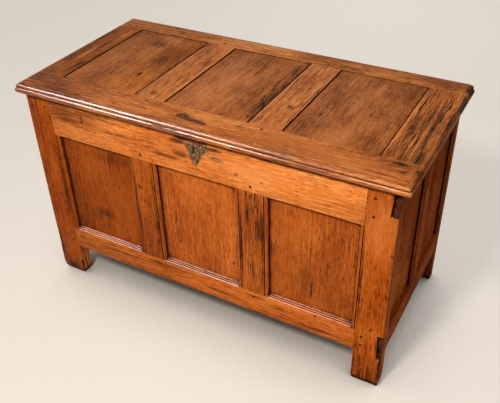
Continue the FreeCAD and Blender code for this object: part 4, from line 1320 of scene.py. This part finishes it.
@dataclass
class FrontFrame:
    """The coffer's front: two stiles, two rails, two muntins and three panels.

    Attributes:
        face: Where the frame's face lies along y.
        field: Where the panels' faces lie along y.
        sill: The height at which the bottom rail's sill starts.
        reed: Length, width and depth of each of the two reeds along the sill.
        reed_step: How far back and up a reed lies from the one before it, or from the sill's edge.
        left_shaded_tone: The left stile's colour beside the finish's, darkened by painted shade.
        plain: The right stile's colour beside the finish's, brightened by painted light.
    """

    face: float = -263.0
    field: float = -249.0
    sill: float = 194.0
    reed: tuple[float, float, float] = (930.0, 2.8, 2.4)
    reed_step: tuple[float, float] = (4.7, 2.7)
    left_shaded_tone: Colour = (1.02, 0.92, 0.4)
    plain: Colour = (1.31, 1.33, 1.75)

    def rails(self) -> list[Board]:
        """Lists the two rails; two reeds run along the lower one's sill.

        Returns:
            The rails.
        """
        y, kind = self.face, MarkKind
        face, edge = Plane(Face.FRONT, y), (Arris(Face.FRONT, y),)
        back, rise = self.reed_step
        reeds = tuple(
            Split((2.0, y + back * step, self.sill + rise * step), *self.reed, Face.TOP, even=True)
            for step in (1, 2)
        )
        return [
            Board("front_top_rail", Grain.ALONG_X, RAIL, 3, (1.07, 1.16, 1.5), face.marks({
                kind.STAIN: [
                    (8, 612, 17, 38, 0.85, 0.9), (16, 634, 38, 15, 0.85, 0.9), (-42, 637, 30, 10, 0.5, 1.0),
                    (-28, 648, 34, 7, 0.5, 0.9), (16, 652, 50, 8, 0.4, 0.9), (64, 638, 32, 7, 0.5, 0.95),
                    (74, 612, 30, 8, 0.5, 0.9),
                ],
                kind.SHADE: [
                    (-36, 600, 34, 14, 0.4, 1.0), (-84, 581, 60, 8, 0.3, 1.0), (-330, 640, 150, 16, 0.2, 0.9),
                    (300, 652, 260, 7, 0.3, 0.8), (-250, 604, 130, 14, 0.1, 0.55),
                    # The broad shade at the left is painted shade, where the light falls off towards the left
                    # end.
                    (-430, 630, 200, 70, 0.0, 0.95),
                ],
                kind.KNOT: [
                    (132, 585, 8, 6, 0.5, 1.0), (206, 580, 6, 5, 0.5, 1.0), (-364, 618, 6, 20, 0.4, 0.9),
                ],
                kind.PALE: [
                    # The broad pale place in the middle is a painted pool of light.
                    (130, 604, 190, 46, 0.0, 1.0), (-90, 606, 46, 16, 0.1, 0.6),
                    (-330, 570, 150, 22, 0.1, 0.7),
                ],
            }), arrises=edge, splits=face.cuts(
                (66, 639, 56, 1.6, 1.2, 1.0), (60, 633, 34, 1.2, 1.0, -2.0), (70, 614, 44, 1.8, 1.4, 2.0),
                (84, 608, 30, 1.4, 1.2, -1.0), (-88, 583, 74, 1.3, 1.2, 1.0), (-64, 576, 46, 1.0, 1.0, -1.0),
                (-38, 601, 32, 2.2, 1.4, 4.0), (-30, 595, 22, 1.5, 1.2, -2.0), (-34, 640, 30, 3.0, 1.8, 3.0),
                (-214, 606, 80, 1.0, 0.8, 1.5), (330, 630, 60, 0.9, 0.8, -1.0), (250, 560, 70, 0.8, 0.7, 0.6),
            )),
            Board("front_bottom_rail", Grain.ALONG_X, FRONT, 7, (1.68, 1.95, 3.2), face.marks({
                kind.SHADE: [
                    (-400, 150, 300, 80, 0.0, 0.5), (-300, 164, 90, 9, 0.3, 0.8),
                    (-210, 134, 60, 8, 0.3, 0.9), (60, 150, 80, 9, 0.3, 0.8), (360, 140, 90, 10, 0.3, 0.8),
                    (-120, 172, 22, 8, 0.2, 0.8), (256, 168, 24, 7, 0.2, 0.9), (440, 172, 12, 7, 0.2, 0.8),
                    (0, 122, 480, 12, 0.1, 0.5, 60),
                ],
                kind.STAIN: [
                    (-452, 170, 16, 7, 0.4, 0.8), (-150, 176, 30, 6, 0.3, 0.8), (180, 180, 40, 5, 0.3, 0.7),
                ],
                kind.PALE: [
                    (300, 186, 160, 6, 0.3, 0.6), (-60, 186, 120, 6, 0.3, 0.6),
                    # The pale strip along the sill below the right panel is a painted highlight.
                    (360, 199, 170, 7, 0.1, 0.9, 14, 8),
                ],
            }), arrises=edge, splits=reeds + face.cuts(
                (262, 160, 60, 1.3, 1.0, -2.0), (236, 170, 30, 1.5, 1.2, 6.0), (-300, 150, 90, 0.9, 0.9, 1.0),
                (90, 132, 120, 1.0, 0.9, 0.5),
            ), wax=Wax((-500, y - 0.5, 193), (500, y + 17, 206), 0.12, 0.9)),
        ]

    def stiles(self) -> list[Board]:
        """Lists the two stiles, with the broken corner, the splits and the worn feet.

        Returns:
            The stiles.
        """
        kind = MarkKind
        face, edge = Plane(Face.FRONT, self.face), (Arris(Face.FRONT, self.face, 2.2),)
        return [
            Board("front_left_stile", Grain.ALONG_Z, FRONT, 11, self.left_shaded_tone, face.marks({
                kind.STAIN: [
                    # The long narrow stain at x -482, along the moulding, is dirt with painted shade in its
                    # quirk.
                    (-518, 22, 34, 24, 0.1, 0.85, 60), (-482, 372, 7, 236, 0.4, 0.95, 12, 4),
                    (-556, 90, 9, 90, 0.3, 0.9),
                ],
                kind.SHADE: [
                    # The broad shade round the foot is painted shade: the stile grows darker towards the
                    # floor.
                    (-552, 90, 16, 110, 0.2, 0.9, 60), (-500, 0, 80, 130, 0.1, 0.45, 80),
                    (-546, 616, 5, 34, 0.2, 0.9, 60),
                ],
                # This pale place is painted light on the right side of the foot.
                kind.PALE: [(-476, 50, 10, 76, 0.3, 1.0, 30, 20)],
            }), arrises=edge, splits=face.cuts(
                (-546, 616, 70, 1.8, 3.0, 1.0), (-522, 16, 60, 4.0, 5.0, 3.0), (-510, 10, 44, 3.0, 4.0, -4.0),
            ) + Plane(Face.RIGHT, -476).cuts(
                (-246, 40, 130, 5.0, 8.0, 1.0), (-236, 30, 90, 3.0, 6.0, -1.0),
            ) + face.cuts(
                (-541, 60, 120, 1.6, 3.0, 1.0), (-532, 150, 90, 1.0, 2.0, -0.6),
            ), chips=(
                Chip((-570, -273, -10), (-556, -259, 40), (0, -12, 40)),
                Chip((-566, -271, 96), (-557.4, -260.6, 168)),
                Chip((-530, -270, -6), (-514, -260, 9), (24, 0, 0)),
                Chip((-480, -268, -10), (-468, -257, 60), (0, 0, 45), 1.2),
            ), foot=Foot((-518, -244), (
                (0, 11, 9, 9), (4, 6.4, 5, 5), (12, 3, 2.2, 2.4), (26, 1.2, 0.8, 1), (44, 0, 0, 0),
            ))),
            Board("front_right_stile", Grain.ALONG_Z, SIDE_FRONT, 14, self.plain, face.marks({
                kind.STAIN: [
                    (552, 150, 14, 46, 0.5, 0.85, 60), (556, 60, 10, 60, 0.3, 0.7, 60),
                    # The narrow stains at x 484, along the moulding, are dirt with painted shade in its
                    # quirk.
                    (528, 40, 5, 52, 0.3, 0.8), (484, 375, 4, 200, 0.4, 0.75), (484, 60, 5, 60, 0.3, 0.6),
                ],
                # The broad shade round the foot is painted shade: the stile grows darker towards the floor.
                kind.SHADE: [(552, 620, 13, 34, 0.8, 1.0, 14, 4), (520, 0, 80, 130, 0.1, 0.75, 80)],
                kind.KNOT: [(556, 474, 5, 4, 0.3, 0.9)],
                kind.PALE: [(520, 560, 60, 150, 0.0, 0.5), (562, 330, 5, 330, 0.3, 0.9, 27, 23)],
            }), arrises=edge, splits=face.cuts(
                (528, 34, 130, 4.2, 9.0, 1.0), (541, 40, 110, 2.4, 6.0, -1.5), (549, 300, 240, 1.4, 3.0, 0.6),
                (555, 380, 180, 1.6, 3.0, -0.6), (556, 474, 16, 4.0, 3.5, 30.0),
                (505, 250, 120, 0.9, 1.2, 0.5), (498, 60, 90, 1.2, 2.0, 1.5), (551, 622, 62, 2.0, 10.0, 2.0),
                (486, 350, 70, 1.1, 1.6, 0.5),
            ), chips=(
                Chip((541, -276, 587), (572, -255.5, 655), (0, 3.0, -14), 2.2),
                Chip((545, -276, 110), (574, -256.5, 196), (0, -4, -12), 2.6),
                Chip((555, -272, 30), (570, -258, 116), (0, 1, 0), 1.2),
                Chip((474, -272, -8), (498, -259, 5), (26, 0, 0)),
            ), foot=Foot((520, -244), ((0, 4, 3, 4), (7, 1.6, 1.2, 1.6), (20, 0, 0, 0)))),
        ]

    def muntins(self) -> list[Board]:
        """Lists the two muntins; worm has been at the right one.

        Returns:
            The muntins.
        """
        y, kind = self.face, MarkKind
        face, edge = Plane(Face.FRONT, y), (Arris(Face.FRONT, y, 1.6),)
        worm = Tracks(5, 26, (176, y, 460), (26, 0, 84), (14, 70), (1.2, 3.0), Face.FRONT, 1.8).splits()
        low = Tracks(8, 14, (180, y, 300), (24, 0, 90), (20, 80), (0.8, 1.6), Face.FRONT, 1.2).splits()
        return [
            Board("front_left_muntin", Grain.ALONG_Z, FRONT, 19, (1.05, 1.06, 1.0), face.marks({
                kind.KNOT: [(-186, 448, 12, 8, 0.2, 0.8)],
                # Both narrow strips along the mouldings are dirt with painted shade in their quirks.
                kind.STAIN: [(-140, 370, 5, 180, 0.4, 0.85), (-200, 370, 4, 180, 0.4, 0.7)],
            }), arrises=edge, splits=face.cuts(
                (-141, 400, 180, 1.3, 2.0, 0.3), (-150, 330, 60, 2.0, 1.6, 1.0),
                (-188, 449, 18, 2.6, 1.6, 40.0),
            )),
            Board("front_right_muntin", Grain.ALONG_Z, FRONT, 23, (1.22, 1.31, 1.75), face.marks({
                kind.STAIN: [
                    (172, 528, 9, 14, 0.3, 0.9), (160, 470, 12, 56, 0.1, 0.75), (190, 430, 14, 70, 0.1, 0.85),
                    # The strips at x 140 and 204, along the mouldings, are dirt with painted shade in their
                    # quirks.
                    (204, 430, 8, 110, 0.2, 0.8), (140, 350, 5, 180, 0.4, 0.85), (204, 350, 4, 180, 0.4, 0.8),
                ],
                kind.SHADE: [(176, 280, 12, 60, 0.1, 0.8)],
            }), arrises=edge, splits=worm + low),
        ]

    def panels(self) -> list[Board]:
        """Lists the three panels.

        Returns:
            The panels.
        """
        face, kind = Plane(Face.FRONT, self.field), MarkKind
        return [
            Board("front_left_panel", Grain.ALONG_Z, FRONT_PANEL, 27, (1.05, 1.0, 0.76), face.marks({
                kind.SHADE: [(-350, 288, 60, 30, 0.1, 0.9), (-300, 500, 120, 26, 0.1, 0.5)],
            })),
            Board("front_middle_panel", Grain.ALONG_Z, FRONT_PANEL, 31, (1.54, 1.72, 3.0), face.marks({
                kind.KNOT: [(-24, 388, 5, 4, 0.3, 0.8), (104, 264, 4, 6, 0.3, 0.8)],
                kind.SHADE: [(-72, 281, 22, 5, 0.1, 0.8)],
            })),
            Board("front_right_panel", Grain.ALONG_Z, FRONT_PANEL, 35, (1.32, 1.42, 2.2), face.marks({
                kind.STAIN: [(346, 266, 7, 48, 0.2, 0.85)],
                kind.SHADE: [(330, 300, 40, 80, 0.1, 0.6)],
            }), pith=(110.0, 60.0)),
        ]

    def boards(self) -> list[Board]:
        """Lists the whole front."""
        whole = self.rails() + self.stiles() + self.muntins() + self.panels()
        return [replace(board, bare=INNER) for board in whole]


@dataclass
class EndFrames:
    """The coffer's two ends: rails, a muntin and two panels each.

    Attributes:
        face: How far the frames' faces lie from the middle along x.
    """

    face: float = 560.0

    def boards(self) -> list[Board]:
        """Lists the ends' boards.

        Returns:
            The boards, the left end's first.
        """
        made = []
        for start, side, way, face in ((41, "left", -1, Face.LEFT), (61, "right", 1, Face.RIGHT)):
            edge = (Arris(face, way * self.face),)
            made += [
                Board(side + "_top_rail", Grain.ALONG_Y, END, start, arrises=edge),
                Board(side + "_bottom_rail", Grain.ALONG_Y, END, start + 3, (0.92, 0.86, 0.7), arrises=edge),
                Board(side + "_muntin", Grain.ALONG_Z, END, start + 5, arrises=edge),
                Board(side + "_front_panel", Grain.ALONG_Z, END, start + 8),
                Board(side + "_rear_panel", Grain.ALONG_Z, END, start + 11),
            ]
        return [replace(board, bare=INNER) for board in made]


@dataclass
class RearFrame:
    """The coffer's plain back.

    Attributes:
        face: Where the frame's face lies along y.
    """

    face: float = 268.0

    def boards(self) -> list[Board]:
        """Lists the back's boards; the stiles are waxed where they show at the ends, and bare behind.

        Returns:
            The boards.
        """
        edge, plane = (Arris(Face.BACK, self.face),), Plane(Face.BACK, self.face)
        made = [
            Board("rear_top_rail", Grain.ALONG_X, REAR, 81, arrises=edge),
            Board("rear_bottom_rail", Grain.ALONG_X, REAR, 84, arrises=edge),
        ]
        for name, seed, middle in (("rear_left_stile", 87, -518), ("rear_right_stile", 90, 518)):
            bare = plane.marks({MarkKind.BARE: [(middle, 330, 70, 430, 0.7, 1.0, 9)]})
            made.append(Board(name, Grain.ALONG_Z, END, seed, marks=bare, arrises=edge, bare=INNER))
        for name, seed in (("rear_left_muntin", 93), ("rear_right_muntin", 96)):
            made.append(Board(name, Grain.ALONG_Z, REAR, seed, arrises=edge))
        for name, seed in (("rear_left_panel", 99), ("rear_middle_panel", 102), ("rear_right_panel", 105)):
            made.append(Board(name, Grain.ALONG_Z, REAR, seed))
        return made


@dataclass
class FloorBoards:
    """The coffer's floor, front to back."""

    def boards(self) -> list[Board]:
        """Lists the floor's boards."""
        names = ((number, f"floor_board_{number}") for number in range(1, 5))
        return [Board(name, Grain.ALONG_Y, INSIDE, 110 + 3 * number) for number, name in names]


@dataclass
class LidBoards:
    """The framed lid: two rails, two stiles, two muntins and three panels.

    Attributes:
        top: Where the frame's top lies.
        field: Where the panels' tops lie.
        nose: Where the front moulding's face lies along y.
        corner: Where the moulding's outer corners lie, either way along x.
        frame_bare: Below this height the frame's wood was never oiled.
        field_bare: Below this height the panels' wasn't.
        outside: Half the width and depth of a space that holds the whole lid, and a height below it.
    """

    top: float = 690.0
    field: float = 687.5
    nose: float = -280.0
    corner: float = 585.0
    frame_bare: float = 662.6
    field_bare: float = 680.0
    outside: Point = (600.0, 290.0, 600.0)

    def rails(self) -> list[Board]:
        """Lists the two rails; the front one's moulding has a long split.

        Returns:
            The rails.
        """
        z, kind = self.top, MarkKind
        top, edge = Plane(Face.TOP, z), (Arris(Face.TOP, z, 1.2),)
        return [
            Board("lid_front_rail", Grain.ALONG_X, LID, 131, (1.1, 1.2, 1.45), top.marks({
                kind.STAIN: [
                    (-46, -221, 22, 15, 0.6, 1.0), (-14, -230, 52, 10, 0.6, 1.0), (16, -236, 20, 8, 0.6, 1.0),
                    (-118, -262, 34, 5, 0.4, 0.9), (114, -207, 24, 5, 0.4, 0.9),
                    (530, -194, 22, 10, 0.4, 1.0), (490, -250, 60, 6, 0.3, 0.8),
                    (-70, self.nose, 54, 12, 0.3, 0.9, 3, -14), (578, -220, 8, 40, 0.3, 0.8, 12),
                ],
                # The broad shade at the left end is painted shade, where the light falls off towards the
                # left.
                kind.SHADE: [(-20, -228, 74, 18, 0.2, 0.8), (-585, -225, 480, 110, 0.0, 1.0, 90)],
                kind.KNOT: [(-376, -250, 9, 6, 0.5, 1.0), (545, -222, 13, 9, 0.5, 1.0)],
                # The pale place at the right end of the nose is rubbed wood with a painted highlight on it.
                kind.PALE: [(330, -235, 300, 60, 0.0, 0.45, 12), (556, -277, 44, 13, 0.3, 1.0, 14, -13)],
            }), arrises=edge, splits=Plane(Face.FRONT, self.nose + 1).cuts(
                (-68, 677, 112, 2.6, 5.0, 0.4), (-40, 672, 70, 1.2, 3.0, -1.0),
            ) + Plane(Face.TOP, z - 1.5).cuts(
                (-20, self.nose + 9, 90, 1.6, 3.0, 1.0),
            ) + top.cuts(
                (-118, -262, 52, 1.4, 1.6, 0.5), (114, -207, 34, 1.5, 1.4, 1.0),
                (-44, -223, 16, 5.0, 1.6, 20.0), (-20, -230, 50, 2.2, 1.8, -6.0),
                (14, -233, 18, 3.0, 1.4, 0.0), (160, -232, 70, 0.9, 0.9, 1.0),
                (300, -244, 130, 0.9, 0.9, -0.6), (-300, -210, 120, 0.8, 0.8, 0.6),
                (532, -195, 40, 2.0, 1.6, 3.0), (500, -252, 70, 1.3, 1.2, 1.0),
            ), chips=(Chip((-123, -284, 660), (-121.2, -274.5, 681), (0, 4, 0), 0.2),),
                corner=(self.corner, self.nose), wax=Wax((-600, -290, 650), (600, -262, 689.3))),
            Board("lid_back_rail", Grain.ALONG_X, LID, 134, (1.27, 1.54, 2.25), top.marks({
                kind.STAIN: [
                    (362, 273, 9, 5, 0.3, 0.9), (168, 232, 12, 5, 0.2, 0.8), (-386, 264, 12, 5, 0.2, 0.8),
                    (580, 252, 15, 46, 0.4, 1.0), (0, 277, 560, 5, 0.3, 0.6),
                ],
                kind.KNOT: [(520, 244, 9, 6, 0.3, 0.8)],
                kind.SPLIT: [(584, 262, 9, 24, 0.2, 0.9)],
            }), arrises=edge, splits=top.cuts(
                (-100, 250, 200, 0.9, 0.9, 0.4), (250, 238, 120, 1.0, 0.9, -0.5),
            )),
        ]

    def uprights(self) -> list[Board]:
        """Lists the stiles and muntins; the right stile is rough and cracked.

        Returns:
            The stiles and muntins.
        """
        z, kind = self.top, MarkKind
        top, edge = Plane(Face.TOP, z), (Arris(Face.TOP, z, 1.2),)
        rough = Tracks(3, 32, (524, 10, z), (36, 160, 0), (30, 170), (1.4, 3.6), Face.TOP, 2.4).splits()
        rough += Tracks(6, 24, (530, 0, z), (34, 170, 0), (20, 110), (0.8, 1.8), Face.TOP, 1.2).splits()
        left = Tracks(4, 14, (-545, 30, z), (30, 150, 0), (20, 90), (1.0, 2.6), Face.TOP, 1.6).splits()
        return [
            # Its low tone is partly painted shade, as the light falls off towards the left end.
            Board("lid_left_stile", Grain.ALONG_Y, LID, 137, (0.63, 0.58, 0.36), top.marks({
                kind.PALE: [
                    (-586, 0, 12, 290, 0.3, 0.6, 14, -14), (-532, -20, 12, 80, 0.1, 0.9),
                    (-508, 150, 10, 60, 0.1, 0.9),
                ],
                kind.STAIN: [
                    (-568, 120, 16, 60, 0.1, 0.8), (-552, -60, 18, 40, 0.1, 0.7), (-520, 60, 9, 70, 0.2, 0.8),
                    (-500, -100, 8, 60, 0.2, 0.8), (-491, 0, 3.5, 220, 0.4, 0.8),
                ],
                kind.SHADE: [(-560, 20, 26, 200, 0.1, 0.7)],
            }), arrises=edge, splits=left),
            Board("lid_right_stile", Grain.ALONG_Y, LID, 141, (1.11, 1.21, 1.5), top.marks({
                kind.STAIN: [
                    (504, -20, 9, 90, 0.3, 0.9), (528, 60, 7, 110, 0.3, 0.9), (548, 0, 9, 200, 0.3, 0.85),
                    (560, -150, 20, 60, 0.2, 0.85), (578, 60, 7, 190, 0.3, 0.8, 12),
                    (584, 170, 12, 70, 0.4, 1.0),
                ],
                # The long thin pale line at x 480, along the channel, is a painted highlight on the arris.
                kind.PALE: [(480, 0, 3.6, 220, 0.5, 1.0), (538, -60, 6, 120, 0.3, 0.8)],
            }), arrises=edge, splits=rough),
            Board("lid_left_muntin", Grain.ALONG_Y, LID, 144, (1.09, 1.26, 1.8), top.marks({
                kind.KNOT: [(-188, -146, 24, 17, 0.2, 0.7)],
                kind.SHADE: [(-150, 60, 8, 60, 0.1, 0.7)],
                # The long thin pale lines along the channels are painted highlights on the arrises.
                kind.PALE: [(-138.5, 0, 3.4, 220, 0.5, 1.0), (-225, 0, 3, 220, 0.5, 0.8)],
            }), arrises=edge, splits=top.cuts(
                (-150, 40, 110, 1.2, 1.2, 0.8), (-206, -100, 60, 0.9, 0.9, -1.0),
            )),
            Board("lid_right_muntin", Grain.ALONG_Y, LID, 148, (1.2, 1.46, 2.3), top.marks({
                kind.KNOT: [(182, -56, 8, 11, 0.5, 1.0)],
                kind.STAIN: [(168, 205, 26, 8, 0.1, 0.7)],
                # The long thin pale line along the channel is a painted highlight on the arris.
                kind.PALE: [(128, 0, 4, 220, 0.5, 1.0)],
                kind.SHADE: [(212, 0, 5, 220, 0.3, 0.8)],
            }), arrises=edge, splits=top.cuts(
                (196, 90, 120, 0.9, 0.9, 0.6), (140, -120, 80, 0.9, 0.9, -0.8),
            )),
        ]

    def panels(self) -> list[Board]:
        """Lists the three panels; worm has been at the middle one.

        Returns:
            The panels.
        """
        z, kind = self.field, MarkKind
        top, edge = Plane(Face.TOP, z), (Arris(Face.TOP, z, 0.8),)
        worm = Tracks(9, 34, (104, -40, z), (15, 130, 0), (20, 110), (1.3, 3.4), Face.TOP, 2.2).splits()
        worm += Tracks(12, 10, (98, 160, z), (18, 40, 0), (20, 70), (1.2, 2.8), Face.TOP, 1.8).splits()
        return [
            Board("lid_left_panel", Grain.ALONG_Y, LID_PANEL, 152, (1.12, 1.19, 1.25), top.marks({
                kind.KNOT: [(-299, -62, 11, 17, 0.4, 1.0)],
                kind.SHADE: [(-368, 138, 38, 34, 0.2, 1.0), (-360, 0, 60, 60, 0.1, 0.5)],
                kind.SPLIT: [(-231.5, 17, 5.4, 500, 0.5, 1.0)],
            }), arrises=edge),
            Board("lid_middle_panel", Grain.ALONG_Y, LID_PANEL, 155, (1.12, 1.24, 1.6), top.marks({
                kind.STAIN: [(108, -40, 19, 160, 0.3, 0.7), (100, 160, 18, 50, 0.1, 0.7)],
                kind.SHADE: [(6, -24, 40, 50, 0.1, 0.6)],
                kind.SPLIT: [(120.5, 17, 5.4, 500, 0.5, 1.0)],
            }), arrises=edge, splits=worm),
            Board("lid_right_panel", Grain.ALONG_Y, LID_PANEL, 159, (1.03, 1.14, 1.6), top.marks({
                kind.KNOT: [(270, -56, 8, 15, 0.4, 1.0)],
                kind.PALE: [(362, 150, 9, 80, 0.1, 0.7)],
                kind.SHADE: [(290, -100, 34, 40, 0.1, 0.5)],
            }), arrises=edge),
        ]

    def boards(self) -> list[Board]:
        """Lists the whole lid, bare from below up to its frame's and its panels' own heights.

        Returns:
            The boards.
        """
        out, back, low = self.outside
        frame_boards, made = self.rails() + self.uprights(), []
        for boards, height in ((frame_boards, self.frame_bare), (self.panels(), self.field_bare)):
            made += [replace(board, bare=((-out, -back, low), (out, back, height))) for board in boards]
        return made


@dataclass
class Pegs:
    """The riven pegs of the frames and the lid."""

    def boards(self) -> list[Board]:
        """Lists the groups of pegs, with the grain along each peg.

        Returns:
            The groups.
        """
        return [
            Board("front_pegs", Grain.ALONG_Y, PEG, 171),
            Board("rear_pegs", Grain.ALONG_Y, PEG, 173),
            Board("left_pegs", Grain.ALONG_X, PEG, 175),
            Board("right_pegs", Grain.ALONG_X, PEG, 177),
            Board("lid_pegs", Grain.ALONG_Z, PEG, 179),
        ]


@dataclass
class Ironwork:
    """Escutcheon, lock, staple and hinges.

    Attributes:
        plates: The nodes of the escutcheon.
        works: The nodes of the lock, the hinges and the staple.
    """

    plates: tuple[str, ...] = ("escutcheon", "escutcheon_pins")
    works: tuple[str, ...] = (
        "lock_case", "bolt_guides", "lock_spring", "key_pin", "lock_nails", "lock_bolt",
        "hinge_straps", "hinge_pins", "hinge_strap_nails", "hinge_tongues", "lid_nails", "lid_staple",
    )

    def pieces(self) -> list[Iron]:
        """Lists the iron pieces."""
        made = [Iron(name, PLATE, 2 + number) for number, name in enumerate(self.plates)]
        return made + [Iron(name, LOCKWORK, 9 + number) for number, name in enumerate(self.works)]


@dataclass(frozen=True)
class Lamp:
    """One soft lamp of the studio, in metres.

    Attributes:
        name: Its name.
        place: Where it hangs.
        aim: The point that it faces.
        size: Its width and height.
        power: Its power in watts.
        colour: Its colour.
        lights: Whether it lights surfaces.
        shines: Whether it's seen in their gloss.
    """

    name: str
    place: Point
    aim: Point
    size: tuple[float, float]
    power: float
    colour: Colour
    lights: bool = True
    shines: bool = True

    def hang(self) -> None:
        """Hangs the lamp."""
        data = bpy.data.lights.new(self.name, "AREA")
        data.shape = "RECTANGLE"
        data.size, data.size_y = self.size
        data.energy = self.power
        data.color = linear(self.colour)[:3]
        lamp = bpy.data.objects.new(self.name, data)
        lamp.visible_diffuse = self.lights
        lamp.visible_glossy = self.shines
        lamp.visible_camera = False
        lamp.location = self.place
        lamp.rotation_euler = (Vector(self.aim) - Vector(self.place)).to_track_quat("-Z", "Y").to_euler()
        bpy.context.scene.collection.objects.link(lamp)


@dataclass
class Studio:
    """The camera, the floor, the lamps and the air round them.

    Attributes:
        eye: Where the camera is, in millimetres.
        right: The camera's right.
        down: The camera's down.
        forward: The way that it looks.
        pixels: Its focal length, in pixels of the picture.
        picture: The picture's width, in pixels.
        floor_size: The floor's length and width, in metres.
        lit_floor: The floor's colour as far as it throws light back.
        seen_floor: The colour that it is seen in.
        glow_colour: The colour of what it is brightened by, for the camera alone.
        glow: How strong that is.
        painted_shadow_reach: How far round the coffer the glow dims as a painted shadow, in millimetres.
        air_colour: The colour of the air's light.
        air: How strong it is.
        ground_colour: What the camera sees beyond the floor.
        lamps: The lamps.
    """

    eye: Point = (872.24, -1509.95, 1549.84)
    right: Point = (0.87877, 0.47676, -0.02136)
    down: Point = (0.26475, -0.52425, -0.80936)
    forward: Point = (-0.39707, 0.70559, -0.58692)
    pixels: float = 686.41
    picture: float = 500.0
    floor_size: float = 24.0
    lit_floor: Colour = (190, 180, 166)
    seen_floor: Colour = (150, 146, 140)
    glow_colour: Colour = (214, 206, 196)
    glow: float = 0.86
    painted_shadow_reach: float = 400.0
    air_colour: Colour = (255, 250, 242)
    air: float = 0.17
    ground_colour: Colour = (212, 205, 195)
    lamps: tuple[Lamp, ...] = (
        Lamp("key_lamp", (0.15, -1.85, 2.4), (0.2, 0.0, 0.4), (0.32, 0.32), 76.0, (255, 244, 232)),
        Lamp(
            "window_lamp", (-1.08, -0.98, 1.9), (-0.3, -0.28, 0.68), (1.8, 0.5), 290.0, (250, 250, 255),
            lights=False,
        ),
        Lamp(
            "back_lamp", (-0.5, 3.1, 1.55), (0.0, 0.2, 0.3), (1.2, 1.0), 15.0, (255, 248, 240),
            shines=False,
        ),
    )

    def camera(self) -> None:
        """Sets the camera as the photograph's stood."""
        data = bpy.data.cameras.new("camera")
        data.sensor_width = 36.0
        data.lens = self.pixels * data.sensor_width / self.picture
        data.clip_start, data.clip_end = 0.01, 100.0
        eye = bpy.data.objects.new("camera", data)
        axes = (Vector(self.right), -Vector(self.down), -Vector(self.forward))
        turned = Matrix([[axis[row] for axis in axes] for row in range(3)]).to_quaternion()
        eye.matrix_world = Matrix.Translation(Vector(self.eye) * MM) @ turned.to_matrix().to_4x4()
        bpy.context.scene.collection.objects.link(eye)
        bpy.context.scene.camera = eye

    def floor(self) -> None:
        """Lays the plain pale floor, whose glow is dimmed round the coffer as a painted shadow."""
        bpy.ops.mesh.primitive_plane_add(size=self.floor_size, location=(0.0, 0.0, 0.0))
        ground = bpy.context.active_object
        ground.name = "studio_floor"
        graph = Graph(bpy.data.materials.new("studio_floor"))
        seen = graph.directly_seen()
        colour = graph.blend(seen, linear(self.lit_floor), linear(self.seen_floor))
        # Painted shadow: the glow that the camera sees is dimmed near the coffer by its occlusion.
        shade = graph.span(graph.corners(self.painted_shadow_reach), 0.2, 0.85, 0.0, self.glow)
        feeds = {"Color": linear(self.glow_colour), "Strength": graph.maths("MULTIPLY", seen, shade)}
        parts = (graph.add("BsdfDiffuse", {"Color": colour}), graph.add("Emission", feeds))
        both = graph.add("AddShader", {number: part.outputs[0] for number, part in enumerate(parts)})
        graph.add("OutputMaterial", {"Surface": both.outputs[0]})
        paint(ground, graph.owner)

    def air_round(self) -> None:
        """Fills the air with plain light and shows the camera a pale ground."""
        bpy.context.scene.world = bpy.data.worlds.new("studio")
        graph = Graph(bpy.context.scene.world)
        plain, shown = (
            graph.add("Background", {"Color": linear(colour), "Strength": strength}).outputs[0]
            for colour, strength in ((self.air_colour, self.air), (self.ground_colour, 1.0))
        )
        mixed = graph.add("MixShader", {0: graph.directly_seen(), 1: plain, 2: shown})
        graph.add("OutputWorld", {"Surface": mixed.outputs[0]})

    def build(self) -> None:
        """Sets up the whole studio."""
        bpy.context.scene.view_settings.view_transform = "Standard"
        self.camera()
        self.floor()
        for lamp in self.lamps:
            lamp.hang()
        self.air_round()
        LOG.info("studio: camera, floor, %d lamps and plain air", len(self.lamps))


def main() -> None:
    """Builds the looks: the studio, then each sub-assembly in order."""
    logging.basicConfig(level=logging.INFO, format="%(name)s: %(message)s")
    Studio().build()
    for assembly in (FrontFrame(), EndFrames(), RearFrame(), FloorBoards(), LidBoards(), Pegs()):
        for board in assembly.boards():
            board.dress()
    for piece in Ironwork().pieces():
        piece.dress()


if __name__ == "__main__":
    main()
